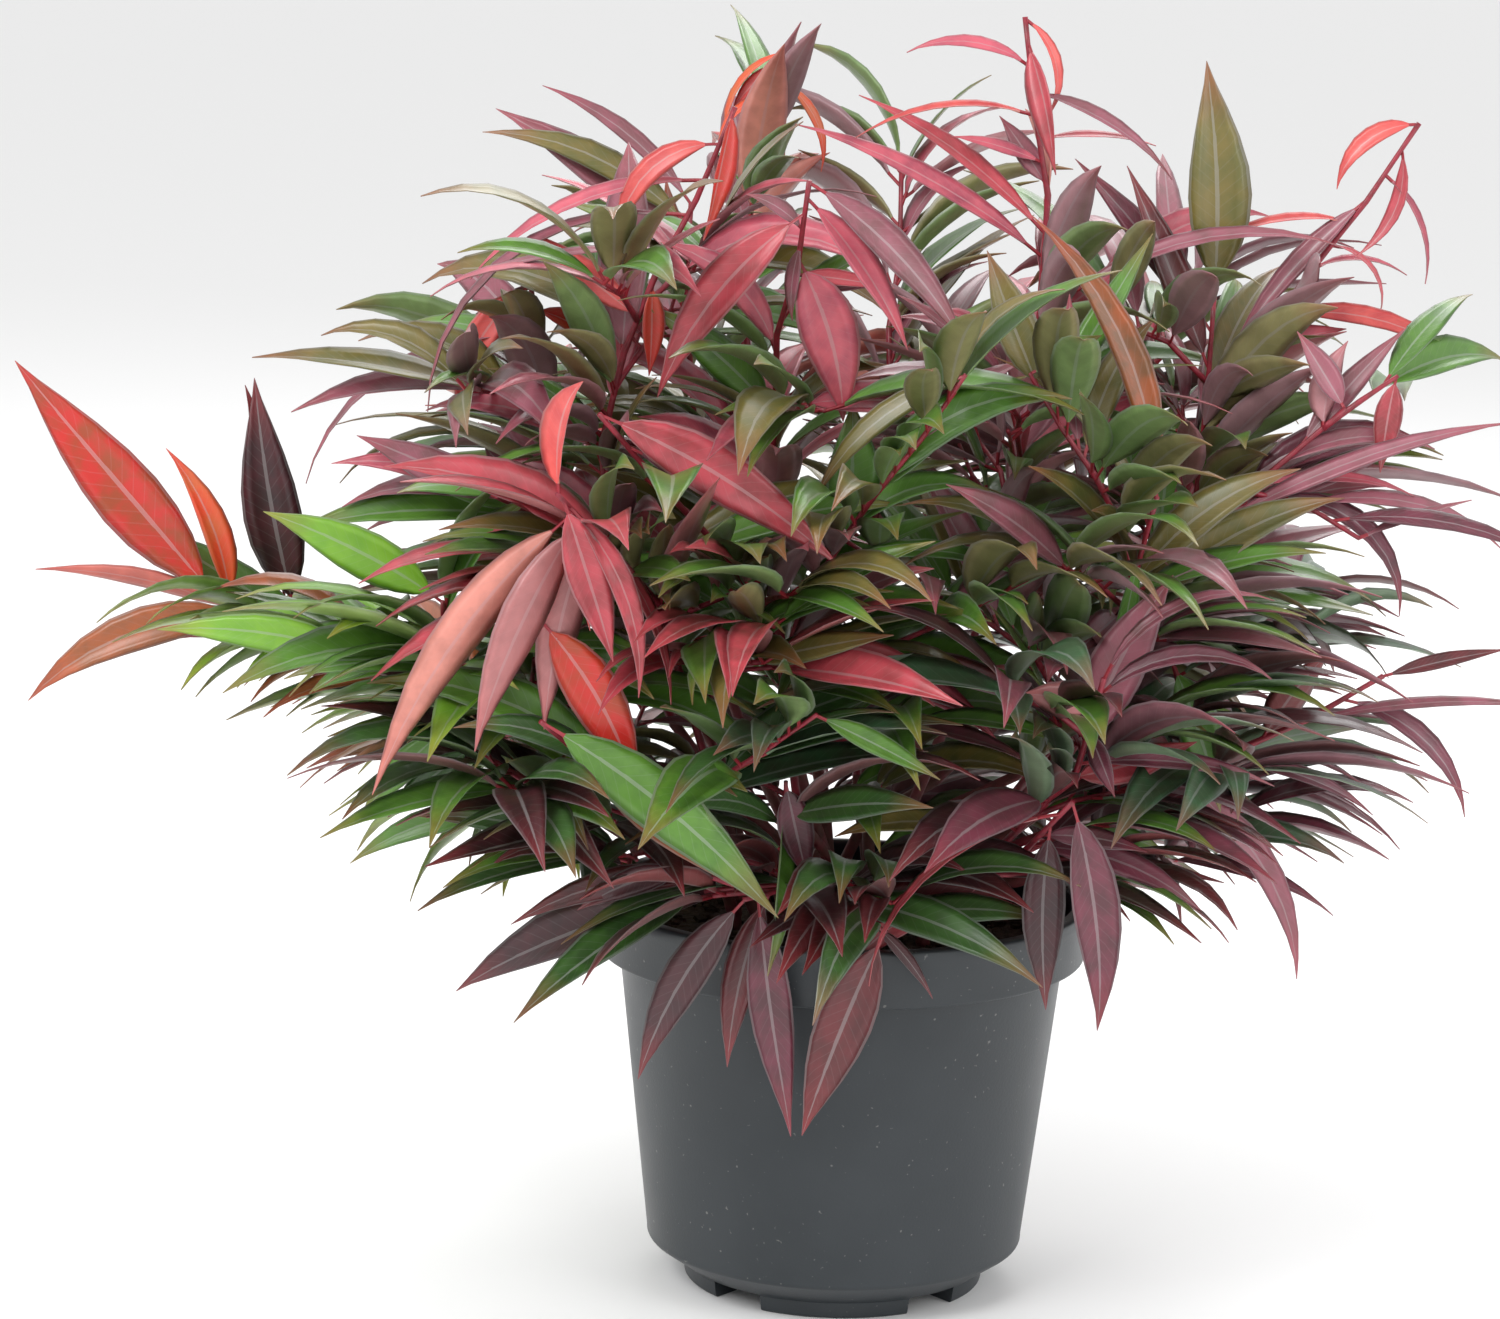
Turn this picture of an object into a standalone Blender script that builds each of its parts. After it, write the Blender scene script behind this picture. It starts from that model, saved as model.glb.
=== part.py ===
"""Coast leucothoe in a nursery pot: the pot, its compost, the woody root crown, one tapering
bough for each shoot, and one mass of twigs and leaves at the end of each bough.

Sizes are in millimetres and degrees, and go into the model in metres. X runs to the right as the
plant is seen from the front, +Y away from the viewer and +Z up. The origin is on the pot's axis,
in the plane that the pot stands on.
"""

import math
import random
from collections import namedtuple

import bmesh
import bpy
from mathutils import Matrix, Vector
from mathutils.bvhtree import BVHTree
from mathutils.geometry import interpolate_bezier

MM = 0.001
UP = Vector((0, 0, 1))
TO_VIEWER = Vector((0, -1, 0))
CLEAR = 0.3  # kept between one solid and the next
JOINT = 0.9  # between the middle of a bough's end and of its stem's

# Pot: a three litre nursery container, 190 mm across its rim
RIM_R = 95.0
RIM_TOP = 153.0
RIM_FLAT = 1.4  # the lip's level top
COLLAR_FOOT = 131.0  # lower edge of the wider band under the rim
COLLAR_R = 94.4
WALL_TOP_R = 86.2
WALL_FOOT_R = 73.0
WALL_FOOT = 16.0
BASE_R = 59.5  # where the slope under the wall meets the feet
FLOOR_UNDER = 6.8
WALL = 1.8
FLOOR = 2.2
FOOT_INNER_R = 46.0
FOOT_ROUND = 0.8
PAD_R = 14.0  # the round pad at the middle of the base
NOTCH_TURN = 40.0  # each gap between feet, measured from the front or the back
NOTCH_WIDE = 22.0
POT_SIDES = 36

# Compost
SOIL_TOP = 140.0
SOIL_EDGE_DROP = 2.5
SOIL_EDGE_IN = 9.0
SOIL_SIDES = 24

# Root crown and boughs
CROWN_R = 8.5
CROWN_TOP_R = 5.5
CROWN_TALL = 20.0
CROWN_LEAN = 4.0
RINGS = ((7, 17.0), (9, 29.0), (12, 43.0))  # boughs and radius of each ring on the compost
BOUGH_FOOT_R = 3.0
BOUGH_FLARE = 1.3
BOUGH_TIP_R = 2.0
BOUGH_STEPS = 3
BOUGH_STUMP = 5.0  # the straight piece that stands on the compost

# Twigs
STEM_R = 2.3
STEM_TIP_R = 1.7
TWIG_R = 2.0
TWIG_TIP_R = 1.5
STEM_STEP = 34.0  # between a stem's points
ZIGZAG = 1.3
RULE_TWIGS = 3
TWIG_REACH = (34, 62)

# Leaves
WIDEST = 0.36  # the share of a leaf's length where it is widest
SHOULDER = 0.68
SHOULDER_WIDE = 0.74
SUNK = 0.5  # how far a leaf's root lies past the middle of its twig
STALK = 0.16  # the share of its length in which a leaf may touch others of its own mass
THIN = 0.012  # least thickness over length
FOLD = 0.09  # depth of the fold along the midrib over the width
SWELL = 0.7  # how much larger a leaf is made for the test against its neighbours
NODE = 11.0  # between one leaf and the next along a twig that grows by the rule
TRIES = 14

Leaf = namedtuple("Leaf", "turn length width droop face swing", defaults=(0,))
Spray = namedtuple("Spray", "to pitch leaves")
Shoot = namedtuple("Shoot", "via past sprays more colour")

# Each shoot's bough ends at via, and its stem runs on past the second point to the first spray's
# place; the other sprays grow on side twigs. A spray's leaves are listed from its tip back, one every pitch.
# A leaf's turn is its direction seen from the front, 0 upwards and 90 to the right; droop is how
# far it bends down along its length; face is 0 with its upper side up and 90 with it to the
# viewer, negative where the underside shows; swing points it towards the viewer.
SHOOTS = {
    "far_left": Shoot((-112, 2, 200), (-145, 0, 222), (
        Spray((-240, -20, 265), 5, (
            Leaf(-41, 118, 29, 5, 90), Leaf(-21, 66, 13, 35, 60), Leaf(-79, 80, 11, 20, -60),
            Leaf(-108, 96, 18, 60, 70))),
        Spray((-219, 20, 258), 10, (
            Leaf(-10, 86, 18, 5, 60), Leaf(-10, 92, 25, 5, 85), Leaf(-65, 38, 9, 20, -70),
            Leaf(-58, 82, 18, 10, 70), Leaf(-86, 58, 9, 15, 40))),
    ), 8, "scarlet"),
    "lime_left": Shoot((-84, -40, 196), (-118, -52, 236), (
        Spray((-178, -70, 253), 7, (
            Leaf(-83, 80, 16, 30, 80), Leaf(-111, 32, 8, 20, 60), Leaf(-105, 36, 6, 20, 60))),
        Spray((-151, -72, 276), 9, (Leaf(-64, 74, 20, 30, 80),)),
    ), 14, "lime"),
    "low_left": Shoot((-66, -46, 172), (-92, -60, 192), (
        Spray((-150, -72, 228), 12, (Leaf(-137, 46, 13, 30, 70), Leaf(-131, 42, 12, 20, 80))),
        Spray((-126, -68, 196), 9, (Leaf(-109, 64, 12, 30, 70),)),
        Spray((-78, -78, 182), 9, (Leaf(-80, 84, 14, 20, 75),)),
    ), 12, "green"),
    "front_rim": Shoot((-10, -56, 166), (-16, -78, 174), (
        Spray((-38, -103, 174), 7, (
            Leaf(-151, 80, 18, 20, 80), Leaf(171, 92, 18, 10, 85), Leaf(-168, 68, 15, 15, 80))),
        Spray((14, -102, 163), 7, (Leaf(-160, 84, 23, 10, 85), Leaf(140, 36, 6, 10, 60))),
        Spray((-24, -102, 218), 9, (Leaf(166, 38, 15, 10, 80), Leaf(-173, 64, 18, 15, 80))),
        Spray((-60, -100, 184), 12, (Leaf(-112, 43, 12, 15, 75), Leaf(-104, 78, 13, 25, 70))),
        Spray((-99, -38, 190), 9, (Leaf(178, 40, 18, 20, 60),)),
    ), 16, "maroon"),
    "hanging": Shoot((-52, -66, 214), (-72, -92, 280), (
        Spray((-106, -150, 328), 4.5, (
            Leaf(8, 46, 20, 60, 100, 20), Leaf(162, 60, 17, 15, 80), Leaf(158, 74, 10, 50, 50, 10),
            Leaf(-145, 124, 19, 30, -80), Leaf(-155, 90, 21, 20, -80, 10),
            Leaf(176, 38, 13, 15, 80, 30), Leaf(-172, 74, 18, 15, -80, 10),
            Leaf(154, 68, 8, 30, 40))),
        Spray((-113, -130, 280), 8, (Leaf(152, 74, 22, 25, 85), Leaf(-127, 24, 9, 10, 80))),
    ), 12, "rose"),
    "top_left": Shoot((-66, -40, 226), (-93, -60, 333), (
        Spray((-48, -70, 458), 14, (
            Leaf(-170, 50, 14, 15, 80, 20), Leaf(-138, 62, 11, 110, 70), Leaf(-109, 98, 10, 50, 30),
            Leaf(-126, 134, 9, 80, 20), Leaf(-98, 82, 7, 25, 20), Leaf(180, 34, 10, 10, 70),
            Leaf(-50, 48, 13, 10, 60))),
    ), 16, "mauve"),
    "left_shoulder": Shoot((-92, -20, 226), (-116, -20, 333), (
        Spray((-123, -20, 388), 9, (
            Leaf(-152, 60, 14, 60, 80), Leaf(126, 38, 10, 40, 60), Leaf(-122, 112, 7, 60, 30))),
        Spray((-132, -66, 314), 6, (
            Leaf(-88, 38, 9, 40, 60), Leaf(-67, 60, 16, 20, 80), Leaf(-77, 70, 13, 25, 60),
            Leaf(-72, 48, 12, 10, 70))),
    ), 12, "green"),
    "back_left": Shoot((-46, 34, 224), (-64, 50, 337), (
        Spray((-65, 50, 414), 9, (
            Leaf(-52, 74, 9, 25, 60), Leaf(-65, 90, 14, 30, 60), Leaf(-58, 94, 18, 15, 70),
            Leaf(-63, 34, 9, 60, 60), Leaf(-10, 50, 19, 0, 80))),
    ), 12, "olive"),
    "top_curl": Shoot((-26, 58, 256), (-44, 84, 390), (
        Spray((-28, 90, 472), 6, (
            Leaf(-150, 52, 6, 90, 30), Leaf(-134, 30, 7, 60, 70), Leaf(153, 42, 6, 60, 50),
            Leaf(-129, 34, 6, 80, 40), Leaf(174, 28, 10, 10, 70))),
    ), 12, "coral"),
    "upper_mid": Shoot((-22, -32, 222), (-32, -50, 343), (
        Spray((-21, -95, 434), 6.5, (
            Leaf(135, 84, 16, 40, 60), Leaf(145, 66, 13, 30, 60), Leaf(-142, 86, 19, 25, 75),
            Leaf(-58, 24, 8, 20, 50), Leaf(-174, 28, 7, 20, 60), Leaf(163, 62, 24, 25, 85),
            Leaf(97, 36, 8, 10, 50), Leaf(85, 36, 8, 10, 40))),
    ), 18, "mauve"),
    "top": Shoot((44, -2, 240), (70, 0, 388), (
        Spray((59, 0, 490), 9, (
            Leaf(165, 44, 6, 90, 50), Leaf(168, 52, 13, 10, 75, 20), Leaf(-84, 50, 7, 70, 50),
            Leaf(119, 64, 8, 35, 40), Leaf(-98, 70, 6, 45, 25), Leaf(92, 45, 6, 15, 30),
            Leaf(-74, 36, 7, 20, 50), Leaf(-38, 32, 10, 10, 60), Leaf(-8, 48, 23, 30, -85, -40),
            Leaf(-52, 88, 10, 15, 50), Leaf(-62, 108, 12, 30, 45))),
    ), 16, "pink"),
    "upright_olive": Shoot((86, -4, 212), (130, -2, 312), (
        Spray((134, 0, 388), 14, (
            Leaf(-4, 88, 27, 0, 85), Leaf(-40, 84, 14, 5, 75), Leaf(-25, 84, 16, 5, 75))),
        Spray((76, -8, 386), 9, (Leaf(77, 108, 9, 35, 50), Leaf(72, 100, 15, 70, 60))),
    ), 14, "olive"),
    "upper_right": Shoot((98, 4, 226), (138, 2, 345), (
        Spray((208, 0, 454), 11, (
            Leaf(-130, 42, 9, 80, 60), Leaf(-159, 46, 7, -60, 60), Leaf(157, 48, 6, 60, 40),
            Leaf(-140, 78, 10, 15, 60), Leaf(-99, 56, 6, 50, 30), Leaf(140, 36, 5, 80, 30),
            Leaf(93, 40, 5, 40, 20), Leaf(16, 42, 22, 10, -80, 30), Leaf(101, 76, 10, 55, 50),
            Leaf(68, 38, 7, 10, 40), Leaf(69, 40, 12, 10, 60))),
    ), 14, "pink"),
    "right_upper": Shoot((84, -26, 200), (121, -40, 293), (
        Spray((179, -50, 352), 11, (
            Leaf(-33, 34, 12, 10, 70), Leaf(9, 34, 14, 30, -80), Leaf(44, 60, 11, 5, 60),
            Leaf(81, 60, 9, 60, 50), Leaf(91, 62, 7, 45, 40), Leaf(67, 68, 10, 0, 50),
            Leaf(61, 120, 10, 20, 50), Leaf(58, 52, 10, 40, 70))),
        Spray((198, -46, 364), 9, (Leaf(-178, 36, 12, 10, 70),)),
        Spray((186, -52, 304), 12, (
            Leaf(69, 44, 6, 10, 30), Leaf(94, 84, 10, 40, 50), Leaf(99, 84, 9, 50, 50),
            Leaf(130, 76, 10, 90, 60))),
    ), 10, "mauve"),
    "right_mid": Shoot((84, -30, 172), (118, -40, 204), (
        Spray((198, -48, 252), 17, (
            Leaf(76, 48, 7, 0, 60), Leaf(131, 70, 10, 60, 60), Leaf(79, 94, 7, 15, 30),
            Leaf(34, 42, 16, 0, -80), Leaf(108, 64, 8, 45, 50), Leaf(147, 94, 13, 50, 70))),
        Spray((118, -62, 258), 9, (Leaf(160, 60, 19, 15, 80),)),
    ), 12, "maroon"),
    "right_front": Shoot((52, -64, 182), (80, -100, 224), (
        Spray((88, -120, 262), 8, (
            Leaf(62, 76, 7, 90, 40), Leaf(83, 72, 9, 90, 50), Leaf(-69, 34, 15, 20, -80, 30),
            Leaf(157, 26, 10, 10, 80, 20), Leaf(25, 70, 23, 5, 80), Leaf(94, 74, 9, 40, 50),
            Leaf(72, 48, 16, 0, 60))),
    ), 12, "maroon"),
    "low_right": Shoot((36, -60, 170), (62, -88, 188), (
        Spray((79, -116, 216), 8, (
            Leaf(171, 88, 20, 30, 80), Leaf(-132, 104, 6, 70, 30), Leaf(179, 70, 18, 10, 85),
            Leaf(97, 40, 10, 15, 60), Leaf(110, 70, 13, 35, 60), Leaf(-126, 84, 15, 15, 70),
            Leaf(-123, 72, 12, 15, 60), Leaf(-108, 66, 8, 15, 50))),
    ), 14, "maroon"),
    "front_left": Shoot((-50, -68, 180), (-78, -112, 214), (
        Spray((-111, -142, 246), 12, (
            Leaf(129, 110, 24, 20, 80), Leaf(132, 42, 14, 20, 70), Leaf(130, 72, 16, 10, 75))),
        Spray((-14, -138, 250), 9, (Leaf(116, 50, 10, 10, 60),)),
        Spray((46, -134, 250), 9, (
            Leaf(-110, 74, 13, 10, 60), Leaf(-177, 40, 13, 10, 70), Leaf(-161, 40, 10, 10, 60))),
    ), 20, "green"),
    "centre": Shoot((-18, -48, 192), (-28, -80, 268), (
        Spray((-93, -124, 353), 16, (Leaf(121, 100, 22, 20, 75), Leaf(115, 70, 10, 10, 60))),
        Spray((36, -108, 368), 9, (Leaf(-130, 72, 11, 30, 60),)),
        Spray((62, -88, 292), 9, (Leaf(-94, 88, 9, 60, 50),)),
        Spray((8, -90, 262), 18, (Leaf(106, 70, 13, 15, 60), Leaf(108, 68, 7, 10, 50))),
    ), 20, "green"),
    "centre_right": Shoot((58, -42, 196), (94, -66, 262), (
        Spray((108, -80, 322), 11, (
            Leaf(-25, 114, 15, 35, 70), Leaf(-44, 86, 7, 40, 60), Leaf(-175, 58, 10, 10, 60))),
        Spray((60, -82, 366), 7, (
            Leaf(62, 30, 13, 10, 60), Leaf(-22, 54, 18, 5, 75), Leaf(24, 76, 12, 0, 60))),
        Spray((-4, -74, 302), 9, (Leaf(1, 52, 23, 0, 80),)),
    ), 16, "olive"),
    "back_top": Shoot((8, 40, 220), (14, 76, 330), (Spray((18, 108, 424), 15, ()),), 14, "green"),
    "back_left_high": Shoot((-56, 58, 204), (-86, 88, 276), (Spray((-138, 128, 332), 15, ()),), 14, "olive"),
    "back_left_low": Shoot((-66, 50, 172), (-104, 78, 196), (Spray((-166, 120, 214), 15, ()),), 12, "green"),
    "back_mid": Shoot((6, 66, 184), (12, 116, 244), (Spray((22, 186, 300), 15, ()),), 14, "green"),
    "back_right_high": Shoot((62, 50, 212), (94, 78, 300), (Spray((138, 112, 382), 15, ()),), 13, "mauve"),
    "back_right_low": Shoot((74, 54, 182), (118, 84, 220), (Spray((186, 122, 256), 15, ()),), 12, "maroon"),
    "back_low": Shoot((-6, 62, 166), (-8, 100, 182), (Spray((-14, 166, 190), 15, ()),), 10, "green"),
    "right_skirt": Shoot((64, 16, 168), (100, 26, 182), (Spray((152, 42, 186), 15, ()),), 12, "maroon"),
}

# Colour, roughness
COLOURS = {
    "pot": ((0.045, 0.055, 0.062), 0.5),
    "compost": ((0.035, 0.022, 0.015), 0.95),
    "wood": ((0.16, 0.09, 0.06), 0.85),
    "stem": ((0.26, 0.03, 0.05), 0.5),
    "scarlet": ((0.58, 0.05, 0.03), 0.4),
    "coral": ((0.70, 0.17, 0.10), 0.4),
    "pink": ((0.48, 0.14, 0.17), 0.4),
    "rose": ((0.42, 0.11, 0.12), 0.4),
    "mauve": ((0.24, 0.10, 0.12), 0.4),
    "maroon": ((0.10, 0.03, 0.04), 0.4),
    "olive": ((0.22, 0.18, 0.05), 0.4),
    "lime": ((0.16, 0.32, 0.04), 0.4),
    "green": ((0.06, 0.14, 0.04), 0.4),
}


def material(name):
    """A plain Principled material in one of COLOURS, made once."""
    made = bpy.data.materials.get(name)
    if made:
        return made
    colour, rough = COLOURS[name]
    made = bpy.data.materials.new(name)
    made.use_nodes = True
    surface = made.node_tree.nodes["Principled BSDF"]
    surface.inputs["Base Color"].default_value = (*colour, 1)
    surface.inputs["Roughness"].default_value = rough
    surface.inputs["Metallic"].default_value = 0
    made.diffuse_color = (*colour, 1)
    return made


def collection(name):
    made = bpy.data.collections.new(name)
    bpy.context.scene.collection.children.link(made)
    return made


def add_object(name, mesh, home, colour=None):
    made = bpy.data.objects.new(name, mesh)
    home.objects.link(made)
    if colour:
        mesh.materials.clear()
        mesh.materials.append(material(colour))
    return made


def evaluated_mesh(item):
    """The mesh of an object with its modifiers or its bevel applied, and its caps welded."""
    bpy.context.view_layer.update()
    shown = item.evaluated_get(bpy.context.evaluated_depsgraph_get())
    mesh = bpy.data.meshes.new_from_object(shown)
    shape = bmesh.new()
    shape.from_mesh(mesh)
    bmesh.ops.remove_doubles(shape, verts=shape.verts, dist=1e-6)
    shape.to_mesh(mesh)
    shape.free()
    return mesh


def remove(item):
    data = item.data
    bpy.data.objects.remove(item)
    if isinstance(data, bpy.types.Mesh):
        bpy.data.meshes.remove(data)
    elif isinstance(data, bpy.types.Curve):
        bpy.data.curves.remove(data)


def turned(name, profile, sides, home, colour):
    """A profile of (radius, height) pairs in millimetres, turned about the pot's axis."""
    mesh = bpy.data.meshes.new(name)
    points = [(r * MM, 0, z * MM) for r, z in profile]
    mesh.from_pydata(points, [(i, i + 1) for i in range(len(points) - 1)], [])
    made = add_object(name, mesh, home, colour)
    screw = made.modifiers.new("turn", "SCREW")
    screw.axis = "Z"
    screw.steps = sides
    screw.render_steps = sides
    screw.use_merge_vertices = True
    screw.merge_threshold = 0.00005
    screw.use_smooth_shade = False
    return made


def build_pot(home, cutters):
    """The container in one piece: floor, sloping wall, stepped collar, foot ring with four gaps."""
    step = WALL * 0.6
    profile = [
        (0, FLOOR_UNDER + FLOOR),
        (BASE_R - WALL * 1.6, FLOOR_UNDER + FLOOR),
        (WALL_FOOT_R - WALL, WALL_FOOT + step),
        (WALL_TOP_R - WALL, COLLAR_FOOT + step),
        (COLLAR_R - WALL, COLLAR_FOOT + WALL + step),
        (RIM_R - WALL - 0.2, RIM_TOP - RIM_FLAT),
        (RIM_R - RIM_FLAT, RIM_TOP),
        (RIM_R - 0.4, RIM_TOP),
        (RIM_R, RIM_TOP - RIM_FLAT),
        (COLLAR_R, COLLAR_FOOT + 0.8),
        (COLLAR_R - 0.8, COLLAR_FOOT),
        (WALL_TOP_R, COLLAR_FOOT - 0.2),
        (WALL_FOOT_R, WALL_FOOT),
        (BASE_R, FLOOR_UNDER),
        (BASE_R - 0.9, FLOOR_UNDER - 0.6),
        (BASE_R - 1.2, FOOT_ROUND),
        (BASE_R - 1.2 - FOOT_ROUND, 0),
        (FOOT_INNER_R, 0),
        (FOOT_INNER_R, FLOOR_UNDER),
        (PAD_R, FLOOR_UNDER),
        (PAD_R, 0),
        (0, 0),
    ]
    pot = turned("pot", profile, POT_SIDES, home, "pot")
    length, height = BASE_R, FLOOR_UNDER + 2
    for number, turn in enumerate((NOTCH_TURN, -NOTCH_TURN, 180 - NOTCH_TURN, NOTCH_TURN - 180)):
        shape = bmesh.new()
        bmesh.ops.create_cube(shape, size=1)
        wide = 2 * BASE_R * math.sin(math.radians(NOTCH_WIDE / 2))
        bmesh.ops.scale(shape, verts=shape.verts, vec=Vector((wide, length, height)) * MM)
        mesh = bpy.data.meshes.new("notch")
        shape.to_mesh(mesh)
        shape.free()
        cutter = add_object(f"notch_{number}", mesh, cutters)
        cutter.hide_render = True
        cutter.display_type = "WIRE"
        aim = Matrix.Rotation(math.radians(turn), 4, "Z")
        middle = Vector((0, -(FOOT_INNER_R - 4 + length / 2), FLOOR_UNDER + 0.15 - height / 2)) * MM
        cutter.location = aim @ middle
        cutter.rotation_euler.z = math.radians(turn)
        cut = pot.modifiers.new(f"gap_{number}", "BOOLEAN")
        cut.operation = "DIFFERENCE"
        cut.object = cutter
    return pot


def build_compost(home):
    """The compost that fills the pot, clear of its floor and wall."""
    step = WALL * 0.6
    gap = CLEAR * 1.3
    profile = [
        (0, SOIL_TOP),
        (COLLAR_R - WALL - gap - SOIL_EDGE_IN, SOIL_TOP),
        (COLLAR_R - WALL - gap, SOIL_TOP - SOIL_EDGE_DROP),
        (COLLAR_R - WALL - gap, COLLAR_FOOT + WALL + step + gap),
        (WALL_TOP_R - WALL - gap, COLLAR_FOOT + step + gap),
        (WALL_FOOT_R - WALL - gap, WALL_FOOT + step + gap),
        (BASE_R - WALL * 1.6 - gap, FLOOR_UNDER + FLOOR + CLEAR),
        (0, FLOOR_UNDER + FLOOR + CLEAR),
    ]
    return turned("compost", profile, SOIL_SIDES, home, "compost")


def build_root_crown(home):
    """The short woody stem at the middle of the clump, with a flat cut at the compost."""
    shape = bmesh.new()
    bmesh.ops.create_cone(
        shape, cap_ends=True, segments=9, radius1=CROWN_R * MM, radius2=CROWN_TOP_R * MM,
        depth=CROWN_TALL * MM)
    for point in shape.verts:
        if point.co.z > 0:
            point.co.x += CROWN_LEAN * MM
    bmesh.ops.translate(
        shape, verts=shape.verts, vec=(0, 0, (SOIL_TOP + CLEAR + CROWN_TALL / 2) * MM))
    mesh = bpy.data.meshes.new("root_crown")
    shape.to_mesh(mesh)
    shape.free()
    return add_object("root_crown", mesh, home, "wood")


def bend(start, towards, end, arriving, steps):
    """Points of a smooth run from start, leaving along towards, to end, arriving along arriving."""
    reach = (end - start).length * 0.4
    return interpolate_bezier(
        start, start + towards * reach, end - arriving * reach, end, steps + 1)


def tube(name, points, radii, sides, home):
    """A tapering limb along points in millimetres: a bevelled curve made into a closed mesh."""
    curve = bpy.data.curves.new(name, "CURVE")
    curve.dimensions = "3D"
    curve.use_fill_caps = True
    if sides == 3:
        curve.bevel_mode = "OBJECT"
        curve.bevel_object = twig_profile()
    else:
        curve.bevel_depth = MM
        curve.bevel_resolution = sides // 2 - 2
    line = curve.splines.new("POLY")
    line.points.add(len(points) - 1)
    for knot, point, radius in zip(line.points, points, radii):
        knot.co = (*(point * MM), 1)
        knot.radius = radius
    item = bpy.data.objects.new(name, curve)
    home.objects.link(item)
    mesh = evaluated_mesh(item)
    remove(item)
    return mesh


def twig_profile():
    """The three-sided section that every twig is drawn along, one millimetre in radius."""
    made = bpy.data.objects.get("twig_profile")
    if made:
        return made
    curve = bpy.data.curves.new("twig_profile", "CURVE")
    curve.dimensions = "2D"
    line = curve.splines.new("POLY")
    line.points.add(2)
    for knot, turn in zip(line.points, (330, 210, 90)):
        angle = math.radians(turn)
        knot.co = (math.cos(angle) * MM, math.sin(angle) * MM, 0, 1)
    line.use_cyclic_u = True
    made = bpy.data.objects.new("twig_profile", curve)
    made.hide_render = True
    made.display_type = "WIRE"
    bpy.data.collections["cutters"].objects.link(made)
    return made


def even_radii(first, last, count):
    return [first + (last - first) * i / (count - 1) for i in range(count)]


class Room:
    """What is already in place, so that nothing new touches it."""

    def __init__(self):
        self.items = []

    def add(self, owner, points, faces):
        low = Vector(min(p[i] for p in points) for i in range(3))
        high = Vector(max(p[i] for p in points) for i in range(3))
        self.items.append((owner, low, high, BVHTree.FromPolygons(points, faces)))

    def add_mesh(self, owner, mesh):
        points = [v.co / MM for v in mesh.vertices]
        self.add(owner, points, [tuple(p.vertices) for p in mesh.polygons])

    def meets_mesh(self, mesh, skip):
        points = [v.co / MM for v in mesh.vertices]
        return self.meets(points, [tuple(p.vertices) for p in mesh.polygons], skip)

    def meets(self, points, faces, skip):
        """True if a shape meets anything but what skip(owner) leaves out."""
        low = [min(p[i] for p in points) for i in range(3)]
        high = [max(p[i] for p in points) for i in range(3)]
        tree = None
        for owner, other_low, other_high, other in self.items:
            if any(low[i] > other_high[i] or high[i] < other_low[i] for i in range(3)):
                continue
            if skip(owner):
                continue
            tree = tree or BVHTree.FromPolygons(points, faces)
            if tree.overlap(other):
                return True
        return False


def leaf_template(rings):
    """A closed three-sided blade: a point at the root, one or two rings, and a point at the tip."""
    shape = bmesh.new()
    bmesh.ops.create_cone(
        shape, cap_ends=True, segments=3, radius1=1, radius2=rings - 1, depth=1)
    bmesh.ops.translate(shape, verts=shape.verts, vec=(0, 0, 1.5))
    for face in [f for f in shape.faces if abs(f.normal.z) > 0.9]:
        outward = 1 if face.normal.z > 0 else -1
        point = bmesh.ops.poke(shape, faces=[face])["verts"]
        bmesh.ops.translate(shape, verts=point, vec=(0, 0, outward))
    bmesh.ops.triangulate(shape, faces=shape.faces)
    bmesh.ops.recalc_face_normals(shape, faces=shape.faces)
    shape.verts.index_update()
    ring = [v for v in shape.verts if round(v.co.z) == 1 and v.co.xy.length > 0.5]
    keel = ring[0].co.xy.angle_signed(Vector((1, 0)))
    places = []
    for vert in shape.verts:
        corner = 0
        if vert.co.xy.length > 0.5:
            angle = vert.co.xy.angle_signed(Vector((1, 0))) - keel
            corner = round(-math.degrees(angle) / 120) % 3
        places.append((round(vert.co.z), corner))
    faces = [tuple(v.index for v in f.verts) for f in shape.faces]
    shape.free()
    return places, faces


def clock(turn, swing):
    """The direction that a turn seen from the front and a swing towards the viewer give."""
    turn, swing = math.radians(turn), math.radians(swing)
    return Vector(
        (math.sin(turn) * math.cos(swing), -math.sin(swing), math.cos(turn) * math.cos(swing)))


def across(direction, wanted, otherwise):
    """The part of wanted at right angles to direction, or of otherwise where that vanishes."""
    part = wanted - direction * wanted.dot(direction)
    if part.length < 0.1:
        part = otherwise - direction * otherwise.dot(direction)
    return part.normalized()


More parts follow.
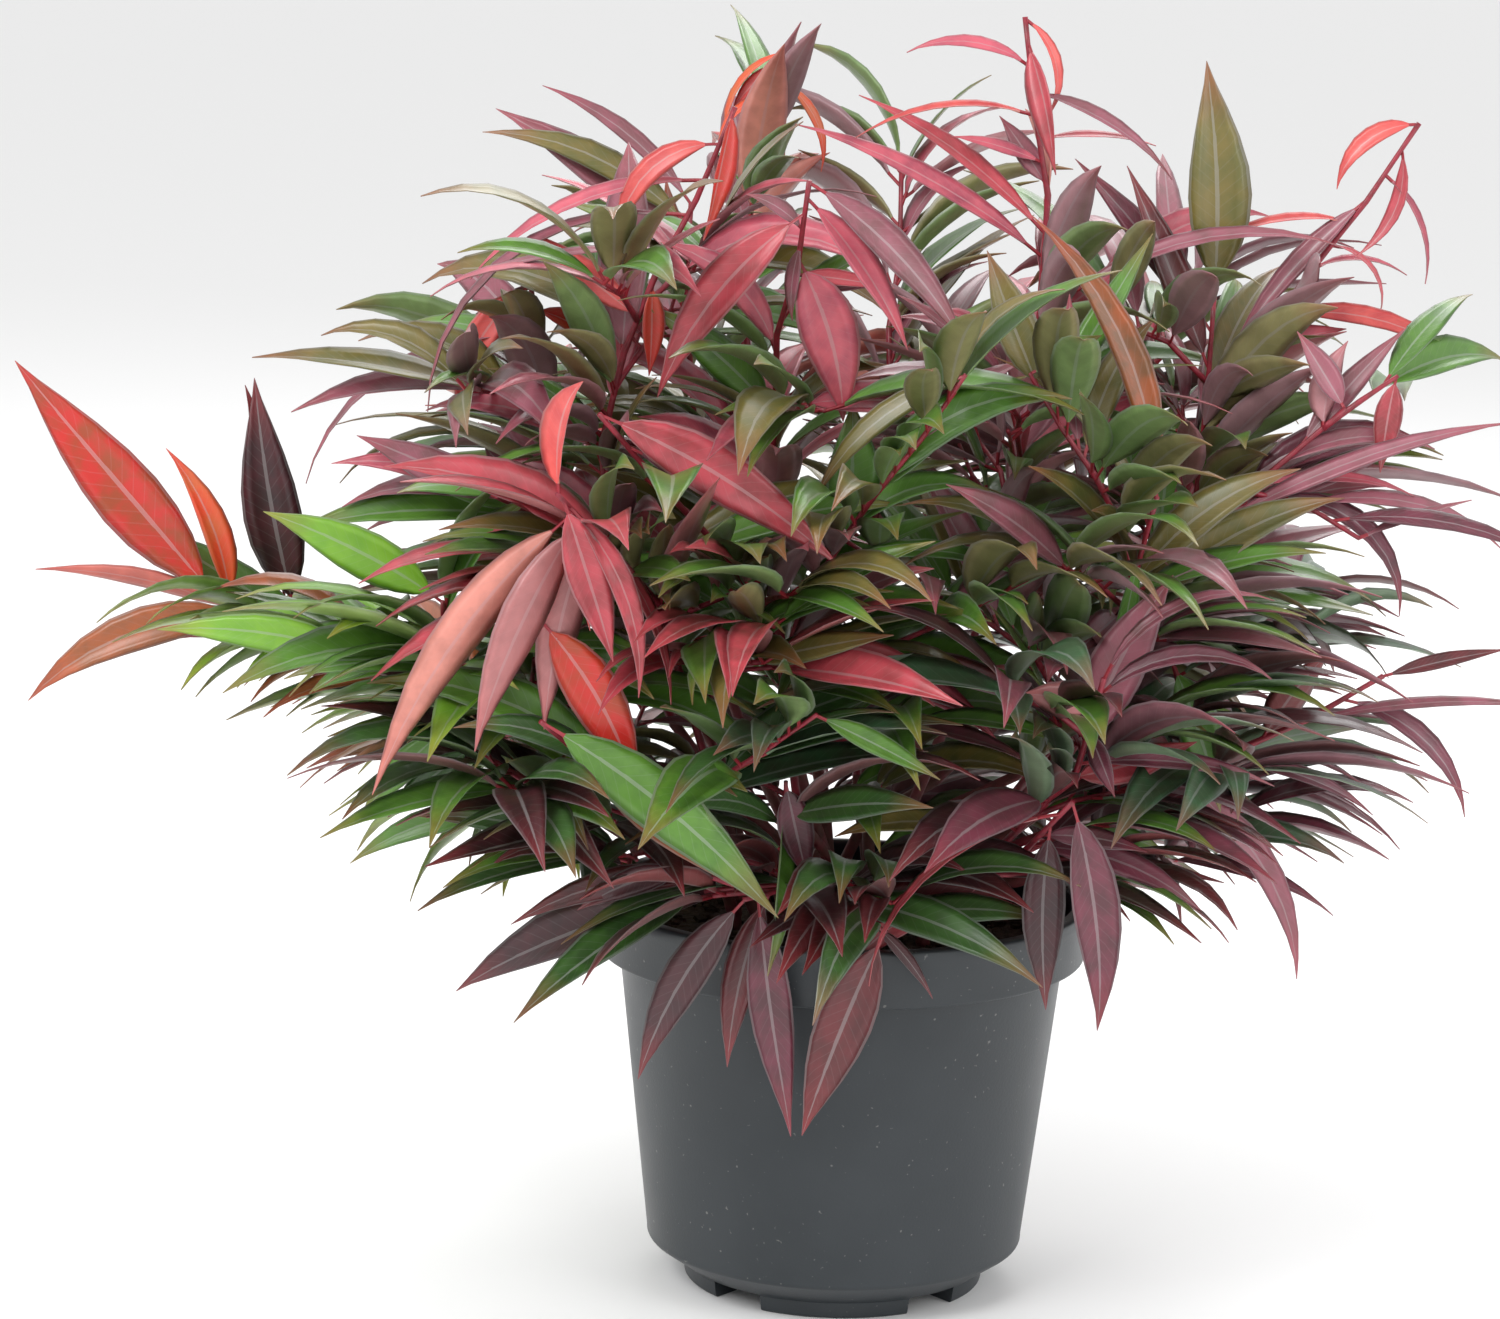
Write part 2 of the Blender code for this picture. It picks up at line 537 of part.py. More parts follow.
class Blade:
    """One leaf: where it starts, where it heads, how it bends down and which way it faces."""

    def __init__(self, foot, chord, upper, length, width, droop):
        self.foot, self.length, self.width = foot, length, width
        self.axis = chord.cross(-UP)
        if self.axis.length < 0.05:
            self.axis = chord.cross(Vector((foot.x, foot.y, 0.1)))
        self.axis.normalize()
        self.droop = math.radians(droop)
        back = Matrix.Rotation(-self.droop / 2, 3, self.axis)
        self.heading = back @ chord
        self.upper = back @ upper

    def frame(self, share):
        """Centre, side and upper direction at a share of the length."""
        steps = 8
        centre = self.foot.copy()
        for i in range(steps):
            turn = Matrix.Rotation(self.droop * share * (i + 0.5) / steps, 3, self.axis)
            centre += turn @ self.heading * (self.length * share / steps)
        turn = Matrix.Rotation(self.droop * share, 3, self.axis)
        heading, upper = turn @ self.heading, turn @ self.upper
        return centre, heading.cross(upper), upper

    def points(self, places, swell=0.0, start=0.0):
        """The template's points on this leaf, larger all round by swell, or short of its stalk."""
        rings = max(place[0] for place in places) - 1
        root = self.frame(start)[0] if start else self.foot - self.heading * SUNK
        stations = [(root,)]
        for share, wide in ((WIDEST, 1), (SHOULDER, SHOULDER_WIDE))[:rings]:
            centre, side, upper = self.frame(share)
            half = self.width * wide / 2 + swell
            deep = max(self.length * THIN, self.width * wide * FOLD)
            keel = centre - upper * (deep * 0.6 + swell)
            rise = upper * (deep * 0.4 + swell)
            stations.append((keel, centre + side * half + rise, centre - side * half + rise))
        stations.append((self.frame(1.0 + swell / self.length)[0],))
        return [stations[station][corner] for station, corner in places]


def aimed(foot, leaf, shake):
    """A leaf of a spray's list, turned a little more each time shake grows."""
    turn = leaf.turn + shake.uniform(-1, 1) * shake.reach * 0.5
    swing = leaf.swing + shake.uniform(-1, 1) * shake.reach * 1.6
    face = leaf.face + shake.uniform(-1, 1) * shake.reach
    chord = clock(turn, swing)
    up = across(chord, UP, Vector((1, 0, 0)))
    viewer = across(chord, TO_VIEWER, UP)
    viewer = (viewer - up * viewer.dot(up)).normalized()
    angle = math.radians(face)
    return Blade(
        foot, chord, up * math.cos(angle) + viewer * math.sin(angle), leaf.length, leaf.width,
        leaf.droop)


class Shake(random.Random):
    """Seeded chance with a reach that starts at nothing and grows with each try."""

    reach = 0.0


def chance(*names):
    """Seeded chance for one twig or leaf, the same whatever is made before it."""
    made = Shake(" ".join(str(n) for n in names))
    made.reach = 0.0
    return made


def grown(foot, along, side, draw):
    """A leaf by the rule: out to one side of its twig, facing up and outwards, bending down."""
    outward = Vector((foot.x, foot.y, 0.15 * abs(foot.z - SOIL_TOP))).normalized()
    beside = across(along, UP, outward).cross(along) * side
    chord = (
        along * draw.uniform(0.2, 0.7) + beside * draw.uniform(0.6, 1.1)
        + outward * draw.uniform(0.1, 0.8) + UP * draw.uniform(-0.35, 0.35))
    chord.normalize()
    wanted = UP * 0.8 + outward * 0.55 + Vector(draw.uniform(-0.45, 0.45) for _ in range(3))
    length = draw.uniform(66, 104)
    return Blade(
        foot, chord, across(chord, wanted, outward), length, length * draw.uniform(0.19, 0.26),
        draw.uniform(15, 75))


class Stem:
    """A run of points with its length, for placing leaves and side twigs along it."""

    def __init__(self, points):
        self.points = points
        self.lengths = [0.0]
        for a, b in zip(points, points[1:]):
            self.lengths.append(self.lengths[-1] + (b - a).length)
        self.length = self.lengths[-1]

    def at(self, distance):
        """The point and direction at a distance from the foot."""
        distance = min(max(distance, 0), self.length)
        for i in range(1, len(self.points)):
            if distance <= self.lengths[i] or i == len(self.points) - 1:
                run = self.points[i] - self.points[i - 1]
                share = (distance - self.lengths[i - 1]) / max(run.length, 1e-6)
                return self.points[i - 1] + run * share, run.normalized()

    def nearest(self, place):
        """The distance from the foot of the point nearest to place."""
        trials = [self.length * i / 40 for i in range(41)]
        return min(trials, key=lambda d: (self.at(d)[0] - place).length)


def zigzag(points):
    """The points moved to either side in turn, as a leucothoe's stem bends at each leaf."""
    moved = [points[0]]
    for i in range(1, len(points) - 1):
        along = (points[i + 1] - points[i - 1]).normalized()
        moved.append(points[i] + across(along, UP, TO_VIEWER).cross(along) * ZIGZAG * (-1) ** i)
    return moved + [points[-1]]


def shoot_course(shoot, foot, shift, gap):
    """The bough's points from the compost to via, and the stem's from there to the first spray."""
    via, past, tip = Vector(shoot.via) + shift, Vector(shoot.past) + shift, Vector(shoot.sprays[0].to)
    joining = ((via - foot).normalized() + (past - via).normalized()).normalized()
    passing = ((past - via).normalized() + (tip - past).normalized()).normalized()
    bough = [foot] + bend(foot + UP * BOUGH_STUMP, UP, via, joining, BOUGH_STEPS)
    start = via + joining * gap
    arriving = ((tip - past).normalized() * 1.5 + UP * 0.2).normalized()
    lower = bend(start, joining, past, passing, steps_for(start, past))
    upper = bend(past, passing, tip, arriving, steps_for(past, tip))
    return bough, zigzag(lower + upper[1:])


def steps_for(start, end):
    return max(1, round((end - start).length / STEM_STEP))


def feet():
    """Each bough's place on the compost: the steepest shoots innermost, each ring in the order of
    its shoots' bearings."""
    steep = sorted(SHOOTS, key=lambda name: math.hypot(*SHOOTS[name].past[:2]) / SHOOTS[name].past[2])
    places, first = {}, 0
    for count, radius in RINGS:
        ring = steep[first:first + count]
        first += count
        bearing = {name: math.atan2(SHOOTS[name].past[1], SHOOTS[name].past[0]) for name in ring}
        order = sorted(ring, key=bearing.get)
        slot = 2 * math.pi / count

        def mismatch(shift):
            return sum(
                abs(math.remainder(bearing[name] - slot * (i + shift), 2 * math.pi))
                for i, name in enumerate(order))

        shift = min((step / 4 for step in range(4 * count)), key=mismatch)
        for i, name in enumerate(order):
            angle = slot * (i + shift)
            places[name] = Vector(
                (radius * math.cos(angle), radius * math.sin(angle), SOIL_TOP + CLEAR))
    return places


class Mass:
    """One shoot's twigs and leaves, gathered as loose closed meshes and then joined."""

    def __init__(self, name, room, home):
        self.name, self.room, self.home = name, room, home
        self.loose = collection(f"{name}_growth")
        self.twigs, self.leaves = [], 0

    def twig(self, points, first, last):
        """Adds a twig, unless it meets another mass or a limb."""
        wide = tube("wide", points, even_radii(first + SWELL, last + SWELL, len(points)), 3, self.home)
        blocked = self.twigs and self.room.meets_mesh(wide, lambda owner: owner == self.name)
        bpy.data.meshes.remove(wide)
        if blocked:
            return None
        mesh = tube(f"{self.name}_twig", points, even_radii(first, last, len(points)), 3, self.home)
        self.room.add_mesh(self.name, mesh)
        add_object(f"{self.name}_twig", mesh, self.loose)
        self.twigs.append(Stem(points))
        return self.twigs[-1]

    def side_twig(self, place):
        """A side twig from the stem to a place, leaving the stem a little below it."""
        stem = self.twigs[0]
        near = stem.nearest(place)
        away = (stem.at(near)[0] - place).length
        start, along = stem.at(max(near - away * 0.5, stem.length * 0.04))
        run = (place - start).normalized()
        leaving = (run + along * 0.8 + UP * 0.2).normalized()
        points = zigzag(bend(start, leaving, place, run, steps_for(start, place) + 1))
        return self.twig(points, TWIG_R, TWIG_TIP_R)

    def add_leaf(self, blade, template):
        """Adds the leaf unless it meets something. True if it was added."""
        places, faces = template
        wide = blade.points(places, SWELL)
        if self.room.meets(wide, faces, lambda owner: owner == self.name):
            return False
        free = blade.points(places, 0.0, STALK)
        if self.room.meets(free, faces, lambda owner: owner != self.name):
            return False
        plain = blade.points(places)
        self.room.add(self.name, plain, faces)
        mesh = bpy.data.meshes.new(f"{self.name}_leaf")
        mesh.from_pydata([p * MM for p in plain], [], faces)
        add_object(f"{self.name}_leaf", mesh, self.loose)
        self.leaves += 1
        return True

    def join(self, colour):
        """Joins the twigs and leaves with one union, and keeps the one body that it gives."""
        parts = list(self.loose.objects)
        base = add_object(f"{self.name}_base", parts[0].data.copy(), self.home)
        self.loose.objects.unlink(parts[0])
        bpy.data.objects.remove(parts[0])
        union = base.modifiers.new("join", "BOOLEAN")
        union.operation = "UNION"
        union.operand_type = "COLLECTION"
        union.collection = self.loose
        joined = evaluated_mesh(base)
        remove(base)
        for part in list(self.loose.objects):
            remove(part)
        bpy.data.collections.remove(self.loose)
        keep_main_body(joined)
        joined.name = self.name
        return add_object(self.name, joined, self.home, colour)


def keep_main_body(mesh):
    """Drops loose scraps and the walls of sealed hollows: all but the body with most faces."""
    shape = bmesh.new()
    shape.from_mesh(mesh)
    bmesh.ops.triangulate(shape, faces=shape.faces)
    bodies, seen = [], set()
    for face in shape.faces:
        if face in seen:
            continue
        body, front = [], [face]
        seen.add(face)
        while front:
            at = front.pop()
            body.append(at)
            for edge in at.edges:
                for other in edge.link_faces:
                    if other not in seen:
                        seen.add(other)
                        front.append(other)
        bodies.append(body)
    bodies.sort(key=len)
    for body in bodies[:-1]:
        bmesh.ops.delete(shape, geom=body, context="FACES")
    shape.to_mesh(mesh)
    shape.free()


def bough_radii(bough):
    radii = even_radii(BOUGH_FOOT_R, BOUGH_TIP_R, len(bough))
    radii[0] *= BOUGH_FLARE
    return radii


def free_course(name, shoot, foot, home, room):
    """A shoot's course, shifted a little more each time until it meets nothing in place."""
    draw = chance(name, "course")
    for attempt in range(60):
        shift = Vector(draw.uniform(-1, 1) for _ in range(3)) * attempt * 0.35
        turn = Matrix.Rotation(draw.uniform(-1, 1) * attempt * 0.02, 3, "Z")
        bough, stem = shoot_course(shoot, turn @ foot, shift, JOINT)
        trunk = tube("trunk", bough, [r + CLEAR for r in bough_radii(bough)], 6, home)
        line = tube("line", stem, even_radii(STEM_R + SWELL, STEM_TIP_R + SWELL, len(stem)), 3, home)
        blocked = room.meets_mesh(trunk, lambda owner: owner == "compost") or room.meets_mesh(
            line, lambda owner: False)
        bpy.data.meshes.remove(trunk)
        bpy.data.meshes.remove(line)
        if not blocked:
            return bough, stem
    print(name, "has no free course")
    return bough, stem


def grow_masses(home, room):
    """Every bough first, then the stems, the listed leaves, and last the leaves by the rule."""
    bent, plain = leaf_template(2), leaf_template(1)
    masses, stems = {}, feet()
    for name, shoot in SHOOTS.items():
        bough, stem = free_course(name, shoot, stems[name], home, room)
        mesh = tube(f"{name}_bough", bough, bough_radii(bough), 6, home)
        room.add_mesh(f"{name}_bough", mesh)
        add_object(f"{name}_bough", mesh, home, "stem")
        masses[name] = Mass(name, room, home)
        masses[name].twig(stem, STEM_R, STEM_TIP_R)
    for name, shoot in SHOOTS.items():
        mass = masses[name]
        for number, spray in enumerate(shoot.sprays):
            twig = mass.twigs[0] if number == 0 else mass.side_twig(Vector(spray.to))
            if twig is None:
                print(name, "has no room for side twig", number)
                continue
            for order, leaf in enumerate(spray.leaves):
                foot = twig.at(twig.length - 0.6 - order * spray.pitch)[0]
                draw = chance(name, number, order)
                for attempt in range(TRIES):
                    draw.reach = attempt * 2.5
                    if mass.add_leaf(aimed(foot, leaf, draw), bent):
                        break
                else:
                    print(name, "spray", number, "leaf", order, "has no room")
    for name, shoot in SHOOTS.items():
        grow_by_rule(name, shoot, masses[name], plain)
    return masses


def grow_by_rule(name, shoot, mass, template):
    """Side twigs and leaves by the seeded rule, alternating along each twig."""
    stem = mass.twigs[0]
    draw = chance(name, "twigs")
    for number in range(RULE_TWIGS):
        start, along = stem.at(stem.length * draw.uniform(0.05, 0.65))
        beside = across(along, UP, TO_VIEWER).cross(along) * (-1) ** number
        reach = draw.uniform(*TWIG_REACH)
        heading = along * 0.6 + beside + UP * draw.uniform(-0.3, 0.4)
        mass.side_twig(start + heading.normalized() * reach)
    spots = []
    for number, twig in enumerate(mass.twigs):
        spray = shoot.sprays[number] if number < len(shoot.sprays) else None
        first = twig.length - (len(spray.leaves) * spray.pitch + 6 if spray else 1)
        spots += [
            (number, order, first - order * NODE) for order in range(int(max(first, 0) / NODE))]
    chance(name, "order").shuffle(spots)
    made = 0
    for number, order, distance in spots:
        if made >= shoot.more:
            break
        foot, along = mass.twigs[number].at(distance)
        draw = chance(name, number, order, "leaf")
        for attempt in range(TRIES):
            if mass.add_leaf(grown(foot, along, (-1) ** (order + attempt), draw), template):
                made += 1
                break


def main():
    for item in list(bpy.data.objects):
        bpy.data.objects.remove(item)
    home = collection("potted_coast_leucothoe")
    cutters = collection("cutters")
    pot = build_pot(home, cutters)
    compost = build_compost(home)
    crown = build_root_crown(home)
    room = Room()
    for item in (pot, compost, crown):
        mesh = evaluated_mesh(item)
        room.add_mesh(item.name, mesh)
        bpy.data.meshes.remove(mesh)
    masses = grow_masses(home, room)
    for name, mass in masses.items():
        mass.join(SHOOTS[name].colour)
    print("leaves:", sum(mass.leaves for mass in masses.values()))


main()
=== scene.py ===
import math
import random
from collections import namedtuple

import bmesh
import bpy
from mathutils import Matrix, Vector, noise
from mathutils.bvhtree import BVHTree
from mathutils.geometry import interpolate_bezier


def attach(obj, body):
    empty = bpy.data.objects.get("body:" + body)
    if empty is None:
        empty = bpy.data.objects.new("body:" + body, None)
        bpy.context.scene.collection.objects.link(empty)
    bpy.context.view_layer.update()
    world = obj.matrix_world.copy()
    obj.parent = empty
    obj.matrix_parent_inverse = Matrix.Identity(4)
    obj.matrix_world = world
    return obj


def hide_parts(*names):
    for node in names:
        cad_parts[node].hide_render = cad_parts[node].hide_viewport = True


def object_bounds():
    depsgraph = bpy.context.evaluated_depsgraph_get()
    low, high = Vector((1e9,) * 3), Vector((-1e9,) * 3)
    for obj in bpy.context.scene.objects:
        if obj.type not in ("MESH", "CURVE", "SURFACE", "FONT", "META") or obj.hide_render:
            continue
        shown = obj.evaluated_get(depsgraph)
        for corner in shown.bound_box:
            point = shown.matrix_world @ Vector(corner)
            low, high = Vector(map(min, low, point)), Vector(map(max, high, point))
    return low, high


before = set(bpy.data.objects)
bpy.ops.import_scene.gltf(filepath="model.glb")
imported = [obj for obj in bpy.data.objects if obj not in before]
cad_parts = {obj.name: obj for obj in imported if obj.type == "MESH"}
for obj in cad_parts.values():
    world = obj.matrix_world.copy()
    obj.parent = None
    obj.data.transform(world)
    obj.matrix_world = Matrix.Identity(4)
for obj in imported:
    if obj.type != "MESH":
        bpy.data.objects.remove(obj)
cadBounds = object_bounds()
print("frame loaded")

# Sizes in millimetres and degrees, as in the part: X to the right, +Y away, +Z up
mm = 0.001
upward = Vector((0, 0, 1))
toViewer = Vector((0, -1, 0))
clear = 0.3  # between the compost and what stands on it
joint = 0.9  # between a bough's end and the stem it carries
soilTop = 140.0

# Boughs
rings = ((7, 17.0), (9, 29.0), (12, 43.0))  # boughs and radius of each ring on the compost
boughFootR, boughTipR = 3.0, 2.0
boughFlare = 1.3  # how much wider the foot is
boughSteps = 3
boughStump = 5.0  # the straight piece that stands on the compost
courseTries = 60
courseShift, courseTurn = 0.35, 0.02  # how much further each try moves and turns a bough

# Twigs
stemR, stemTipR = 2.3, 1.7
twigR, twigTipR = 2.0, 1.5
stemStep = 34.0  # between a stem's points
zigzagOut = 1.3
sideBack = 0.5  # how far back along its stem a side twig starts, as a share of its reach
sideLowest = 0.04
sideAlong, sideRise = 0.8, 0.2  # how far a side twig leaves along its stem, and upwards

# Leaves
widest = 0.36  # the share of a leaf's length where it is widest
shoulder = 0.68
shoulderWide = 0.74
sunk = 0.5  # how far a leaf's root lies past the middle of its twig
stalk = 0.16  # the share of its length in which a leaf may touch others of its own mass
thin = 0.012  # least thickness over length
fold = 0.09  # depth of the fold along the midrib over the width
swell = 0.7  # how much larger a leaf is made for the test against its neighbours
tipGap = 0.6  # from a twig's end back to its last leaf
node = 11.0  # between one leaf and the next along a twig that grows by the rule
tries = 14
tryStep = 2.5  # how many degrees further each try may face a leaf
turnShare, swingShare = 0.5, 1.6  # its turn and swing beside that

Leaf = namedtuple("Leaf", "turn length width droop face swing", defaults=(0,))
Spray = namedtuple("Spray", "to pitch leaves")
Shoot = namedtuple("Shoot", "via past sprays more tints")


# A shoot of the back and sides, whose leaves all grow by the rule
def fillShoot(via, past, to, more, tints):
    return Shoot(via, past, (Spray(to, 15, ()),), more, (tints,))


# Each shoot's bough ends at via, and its stem runs on past the second point to the first
# spray's place; the other sprays grow on side twigs. A spray's leaves are listed from its tip
# back, one every pitch, as turn, length, width, droop, face and swing.
# A leaf's turn is its direction seen from the front, 0 upwards and 90 to the right; droop is how
# far it bends down along its length; face is 0 with its upper side up and 90 with it to the
# viewer, negative where the underside shows; swing points it towards the viewer.
# A shoot ends with how many more leaves grow by the rule, and with the tints of its sprays in
# turn, the last for the leaves by the rule.
shoots = {
    "far_left": Shoot((-112, 2, 200), (-145, 0, 222), (
        Spray((-240, -20, 265), 5, ((-41, 118, 29, 5, 90), (-21, 66, 13, 35, 60),
            (-79, 80, 11, 20, -60), (-108, 96, 18, 60, 70))),
        Spray((-219, 20, 258), 10, ((-10, 86, 18, 5, 60), (-10, 92, 25, 5, 85), (-65, 38, 9, 20, -70),
            (-58, 82, 18, 10, 70), (-86, 58, 9, 15, 40))),
    ), 8, ("scarlet flame scarlet rust", "burgundy maroon burgundy green", "green lime rust")),
    "lime_left": Shoot((-84, -40, 196), (-118, -52, 236), (
        Spray((-178, -70, 253), 7, ((-83, 80, 16, 30, 80), (-111, 32, 8, 20, 60),
            (-105, 36, 6, 20, 60))),
        Spray((-151, -72, 276), 9, ((-64, 74, 20, 30, 80),)),
    ), 14, ("lime green lime", "lime", "lime green green")),
    "low_left": Shoot((-66, -46, 172), (-92, -60, 192), (
        Spray((-150, -72, 228), 12, ((-137, 46, 13, 30, 70), (-131, 42, 12, 20, 80))),
        Spray((-126, -68, 196), 9, ((-109, 64, 12, 30, 70),)),
        Spray((-78, -78, 182), 9, ((-80, 84, 14, 20, 75),)),
    ), 12, ("green darkGreen", "green", "darkGreen teal", "green darkGreen maroon")),
    "front_rim": Shoot((-10, -56, 166), (-16, -78, 174), (
        Spray((-38, -103, 174), 7, ((-151, 80, 18, 20, 80), (171, 92, 18, 10, 85),
            (-168, 68, 15, 15, 80))),
        Spray((14, -102, 163), 7, ((-160, 84, 23, 10, 85), (140, 36, 6, 10, 60))),
        Spray((-24, -102, 218), 9, ((166, 38, 15, 10, 80), (-173, 64, 18, 15, 80))),
        Spray((-60, -100, 184), 12, ((-112, 43, 12, 15, 75), (-104, 78, 13, 25, 70))),
        Spray((-99, -38, 190), 9, ((178, 40, 18, 20, 60),)),
    ), 16, ("maroon plum burgundy", "burgundy maroon", "plum green", "maroon burgundy", "teal",
        "maroon darkGreen burgundy maroon")),
    "hanging": Shoot((-52, -66, 214), (-72, -92, 280), (
        Spray((-106, -150, 328), 4.5, ((8, 46, 20, 60, 100, 20), (162, 60, 17, 15, 80),
            (158, 74, 10, 50, 50, 10), (-145, 124, 19, 30, -80), (-155, 90, 21, 20, -80, 10),
            (176, 38, 13, 15, 80, 30), (-172, 74, 18, 15, -80, 10), (154, 68, 8, 30, 40))),
        Spray((-113, -130, 280), 8, ((152, 74, 22, 25, 85), (-127, 24, 9, 10, 80))),
    ), 12, ("coral rose rose coral rose", "scarlet coral", "green rose olive")),
    "top_left": Shoot((-66, -40, 226), (-93, -60, 333), (
        Spray((-48, -70, 458), 14, ((-170, 50, 14, 15, 80, 20), (-138, 62, 11, 110, 70),
            (-109, 98, 10, 50, 30), (-126, 134, 9, 80, 20), (-98, 82, 7, 25, 20),
            (180, 34, 10, 10, 70), (-50, 48, 13, 10, 60))),
    ), 16, ("scarlet coral pink mauve mauve", "mauve green olive pink")),
    "left_shoulder": Shoot((-92, -20, 226), (-116, -20, 333), (
        Spray((-123, -20, 388), 9, ((-152, 60, 14, 60, 80), (126, 38, 10, 40, 60),
            (-122, 112, 7, 60, 30))),
        Spray((-132, -66, 314), 6, ((-88, 38, 9, 40, 60), (-67, 60, 16, 20, 80), (-77, 70, 13, 25, 60),
            (-72, 48, 12, 10, 70))),
    ), 12, ("coral scarlet mauve", "green mauve pink", "green olive mauve")),
    "back_left": Shoot((-46, 34, 224), (-64, 50, 337), (
        Spray((-65, 50, 414), 9, ((-52, 74, 9, 25, 60), (-65, 90, 14, 30, 60), (-58, 94, 18, 15, 70),
            (-63, 34, 9, 60, 60), (-10, 50, 19, 0, 80))),
    ), 12, ("mauve olive mauve plum rust", "olive green mauve")),
    "top_curl": Shoot((-26, 58, 256), (-44, 84, 390), (
        Spray((-28, 90, 472), 6, ((-150, 52, 6, 90, 30), (-134, 30, 7, 60, 70), (153, 42, 6, 60, 50),
            (-129, 34, 6, 80, 40), (174, 28, 10, 10, 70))),
    ), 12, ("flame coral flame", "coral green mauve")),
    "upper_mid": Shoot((-22, -32, 222), (-32, -50, 343), (
        Spray((-21, -95, 434), 6.5, ((135, 84, 16, 40, 60), (145, 66, 13, 30, 60),
            (-142, 86, 19, 25, 75), (-58, 24, 8, 20, 50), (-174, 28, 7, 20, 60), (163, 62, 24, 25, 85),
            (97, 36, 8, 10, 50), (85, 36, 8, 10, 40))),
    ), 18, ("mauve pink rose mauve", "green olive green pink green")),
    "top": Shoot((44, -2, 240), (70, 0, 388), (
        Spray((59, 0, 490), 9, ((165, 44, 6, 90, 50), (168, 52, 13, 10, 75, 20), (-84, 50, 7, 70, 50),
            (119, 64, 8, 35, 40), (-98, 70, 6, 45, 25), (92, 45, 6, 15, 30), (-74, 36, 7, 20, 50),
            (-38, 32, 10, 10, 60), (-8, 48, 23, 30, -85, -40), (-52, 88, 10, 15, 50),
            (-62, 108, 12, 30, 45))),
    ), 16, ("coral rose pink mauve", "mauve pink green")),
    "upright_olive": Shoot((86, -4, 212), (130, -2, 312), (
        Spray((134, 0, 388), 14, ((-4, 88, 27, 0, 85), (-40, 84, 14, 5, 75), (-25, 84, 16, 5, 75))),
        Spray((76, -8, 386), 9, ((77, 108, 9, 35, 50), (72, 100, 15, 70, 60))),
    ), 14, ("olive plum burgundy", "mauve pink", "green olive mauve")),
    "upper_right": Shoot((98, 4, 226), (138, 2, 345), (
        Spray((208, 0, 454), 11, ((-130, 42, 9, 80, 60), (-159, 46, 7, -60, 60), (157, 48, 6, 60, 40),
            (-140, 78, 10, 15, 60), (-99, 56, 6, 50, 30), (140, 36, 5, 80, 30), (93, 40, 5, 40, 20),
            (16, 42, 22, 10, -80, 30), (101, 76, 10, 55, 50), (68, 38, 7, 10, 40),
            (69, 40, 12, 10, 60))),
    ), 14, ("coral rose pink mauve", "mauve green pink")),
    "right_upper": Shoot((84, -26, 200), (121, -40, 293), (
        Spray((179, -50, 352), 11, ((-33, 34, 12, 10, 70), (9, 34, 14, 30, -80), (44, 60, 11, 5, 60),
            (81, 60, 9, 60, 50), (91, 62, 7, 45, 40), (67, 68, 10, 0, 50), (61, 120, 10, 20, 50),
            (58, 52, 10, 40, 70))),
        Spray((198, -46, 364), 9, ((-178, 36, 12, 10, 70),)),
        Spray((186, -52, 304), 12, ((69, 44, 6, 10, 30), (94, 84, 10, 40, 50), (99, 84, 9, 50, 50),
            (130, 76, 10, 90, 60))),
    ), 10, ("mauve pink mauve", "rose", "mauve plum", "mauve green plum")),
    "right_mid": Shoot((84, -30, 172), (118, -40, 204), (
        Spray((198, -48, 252), 17, ((76, 48, 7, 0, 60), (131, 70, 10, 60, 60), (79, 94, 7, 15, 30),
            (34, 42, 16, 0, -80), (108, 64, 8, 45, 50), (147, 94, 13, 50, 70))),
        Spray((118, -62, 258), 9, ((160, 60, 19, 15, 80),)),
    ), 12, ("burgundy plum mauve", "green", "plum teal maroon")),
    "right_front": Shoot((52, -64, 182), (80, -100, 224), (
        Spray((88, -120, 262), 8, ((62, 76, 7, 90, 40), (83, 72, 9, 90, 50),
            (-69, 34, 15, 20, -80, 30), (157, 26, 10, 10, 80, 20), (25, 70, 23, 5, 80),
            (94, 74, 9, 40, 50), (72, 48, 16, 0, 60))),
    ), 12, ("mauve plum rose plum", "plum teal maroon green")),
    "low_right": Shoot((36, -60, 170), (62, -88, 188), (
        Spray((79, -116, 216), 8, ((171, 88, 20, 30, 80), (-132, 104, 6, 70, 30),
            (179, 70, 18, 10, 85), (97, 40, 10, 15, 60), (110, 70, 13, 35, 60), (-126, 84, 15, 15, 70),
            (-123, 72, 12, 15, 60), (-108, 66, 8, 15, 50))),
    ), 14, ("plum rose maroon plum", "maroon burgundy plum green")),
    "front_left": Shoot((-50, -68, 180), (-78, -112, 214), (
        Spray((-111, -142, 246), 12, ((129, 110, 24, 20, 80), (132, 42, 14, 20, 70),
            (130, 72, 16, 10, 75))),
        Spray((-14, -138, 250), 9, ((116, 50, 10, 10, 60),)),
        Spray((46, -134, 250), 9, ((-110, 74, 13, 10, 60), (-177, 40, 13, 10, 70),
            (-161, 40, 10, 10, 60))),
    ), 20, ("green darkGreen rust", "green", "maroon burgundy", "green darkGreen teal")),
    "centre": Shoot((-18, -48, 192), (-28, -80, 268), (
        Spray((-93, -124, 353), 16, ((121, 100, 22, 20, 75), (115, 70, 10, 10, 60))),
        Spray((36, -108, 368), 9, ((-130, 72, 11, 30, 60),)),
        Spray((62, -88, 292), 9, ((-94, 88, 9, 60, 50),)),
        Spray((8, -90, 262), 18, ((106, 70, 13, 15, 60), (108, 68, 7, 10, 50))),
    ), 20, ("rose plum", "olive", "green", "burgundy", "green olive green mauve green")),
    "centre_right": Shoot((58, -42, 196), (94, -66, 262), (
        Spray((108, -80, 322), 11, ((-25, 114, 15, 35, 70), (-44, 86, 7, 40, 60),
            (-175, 58, 10, 10, 60))),
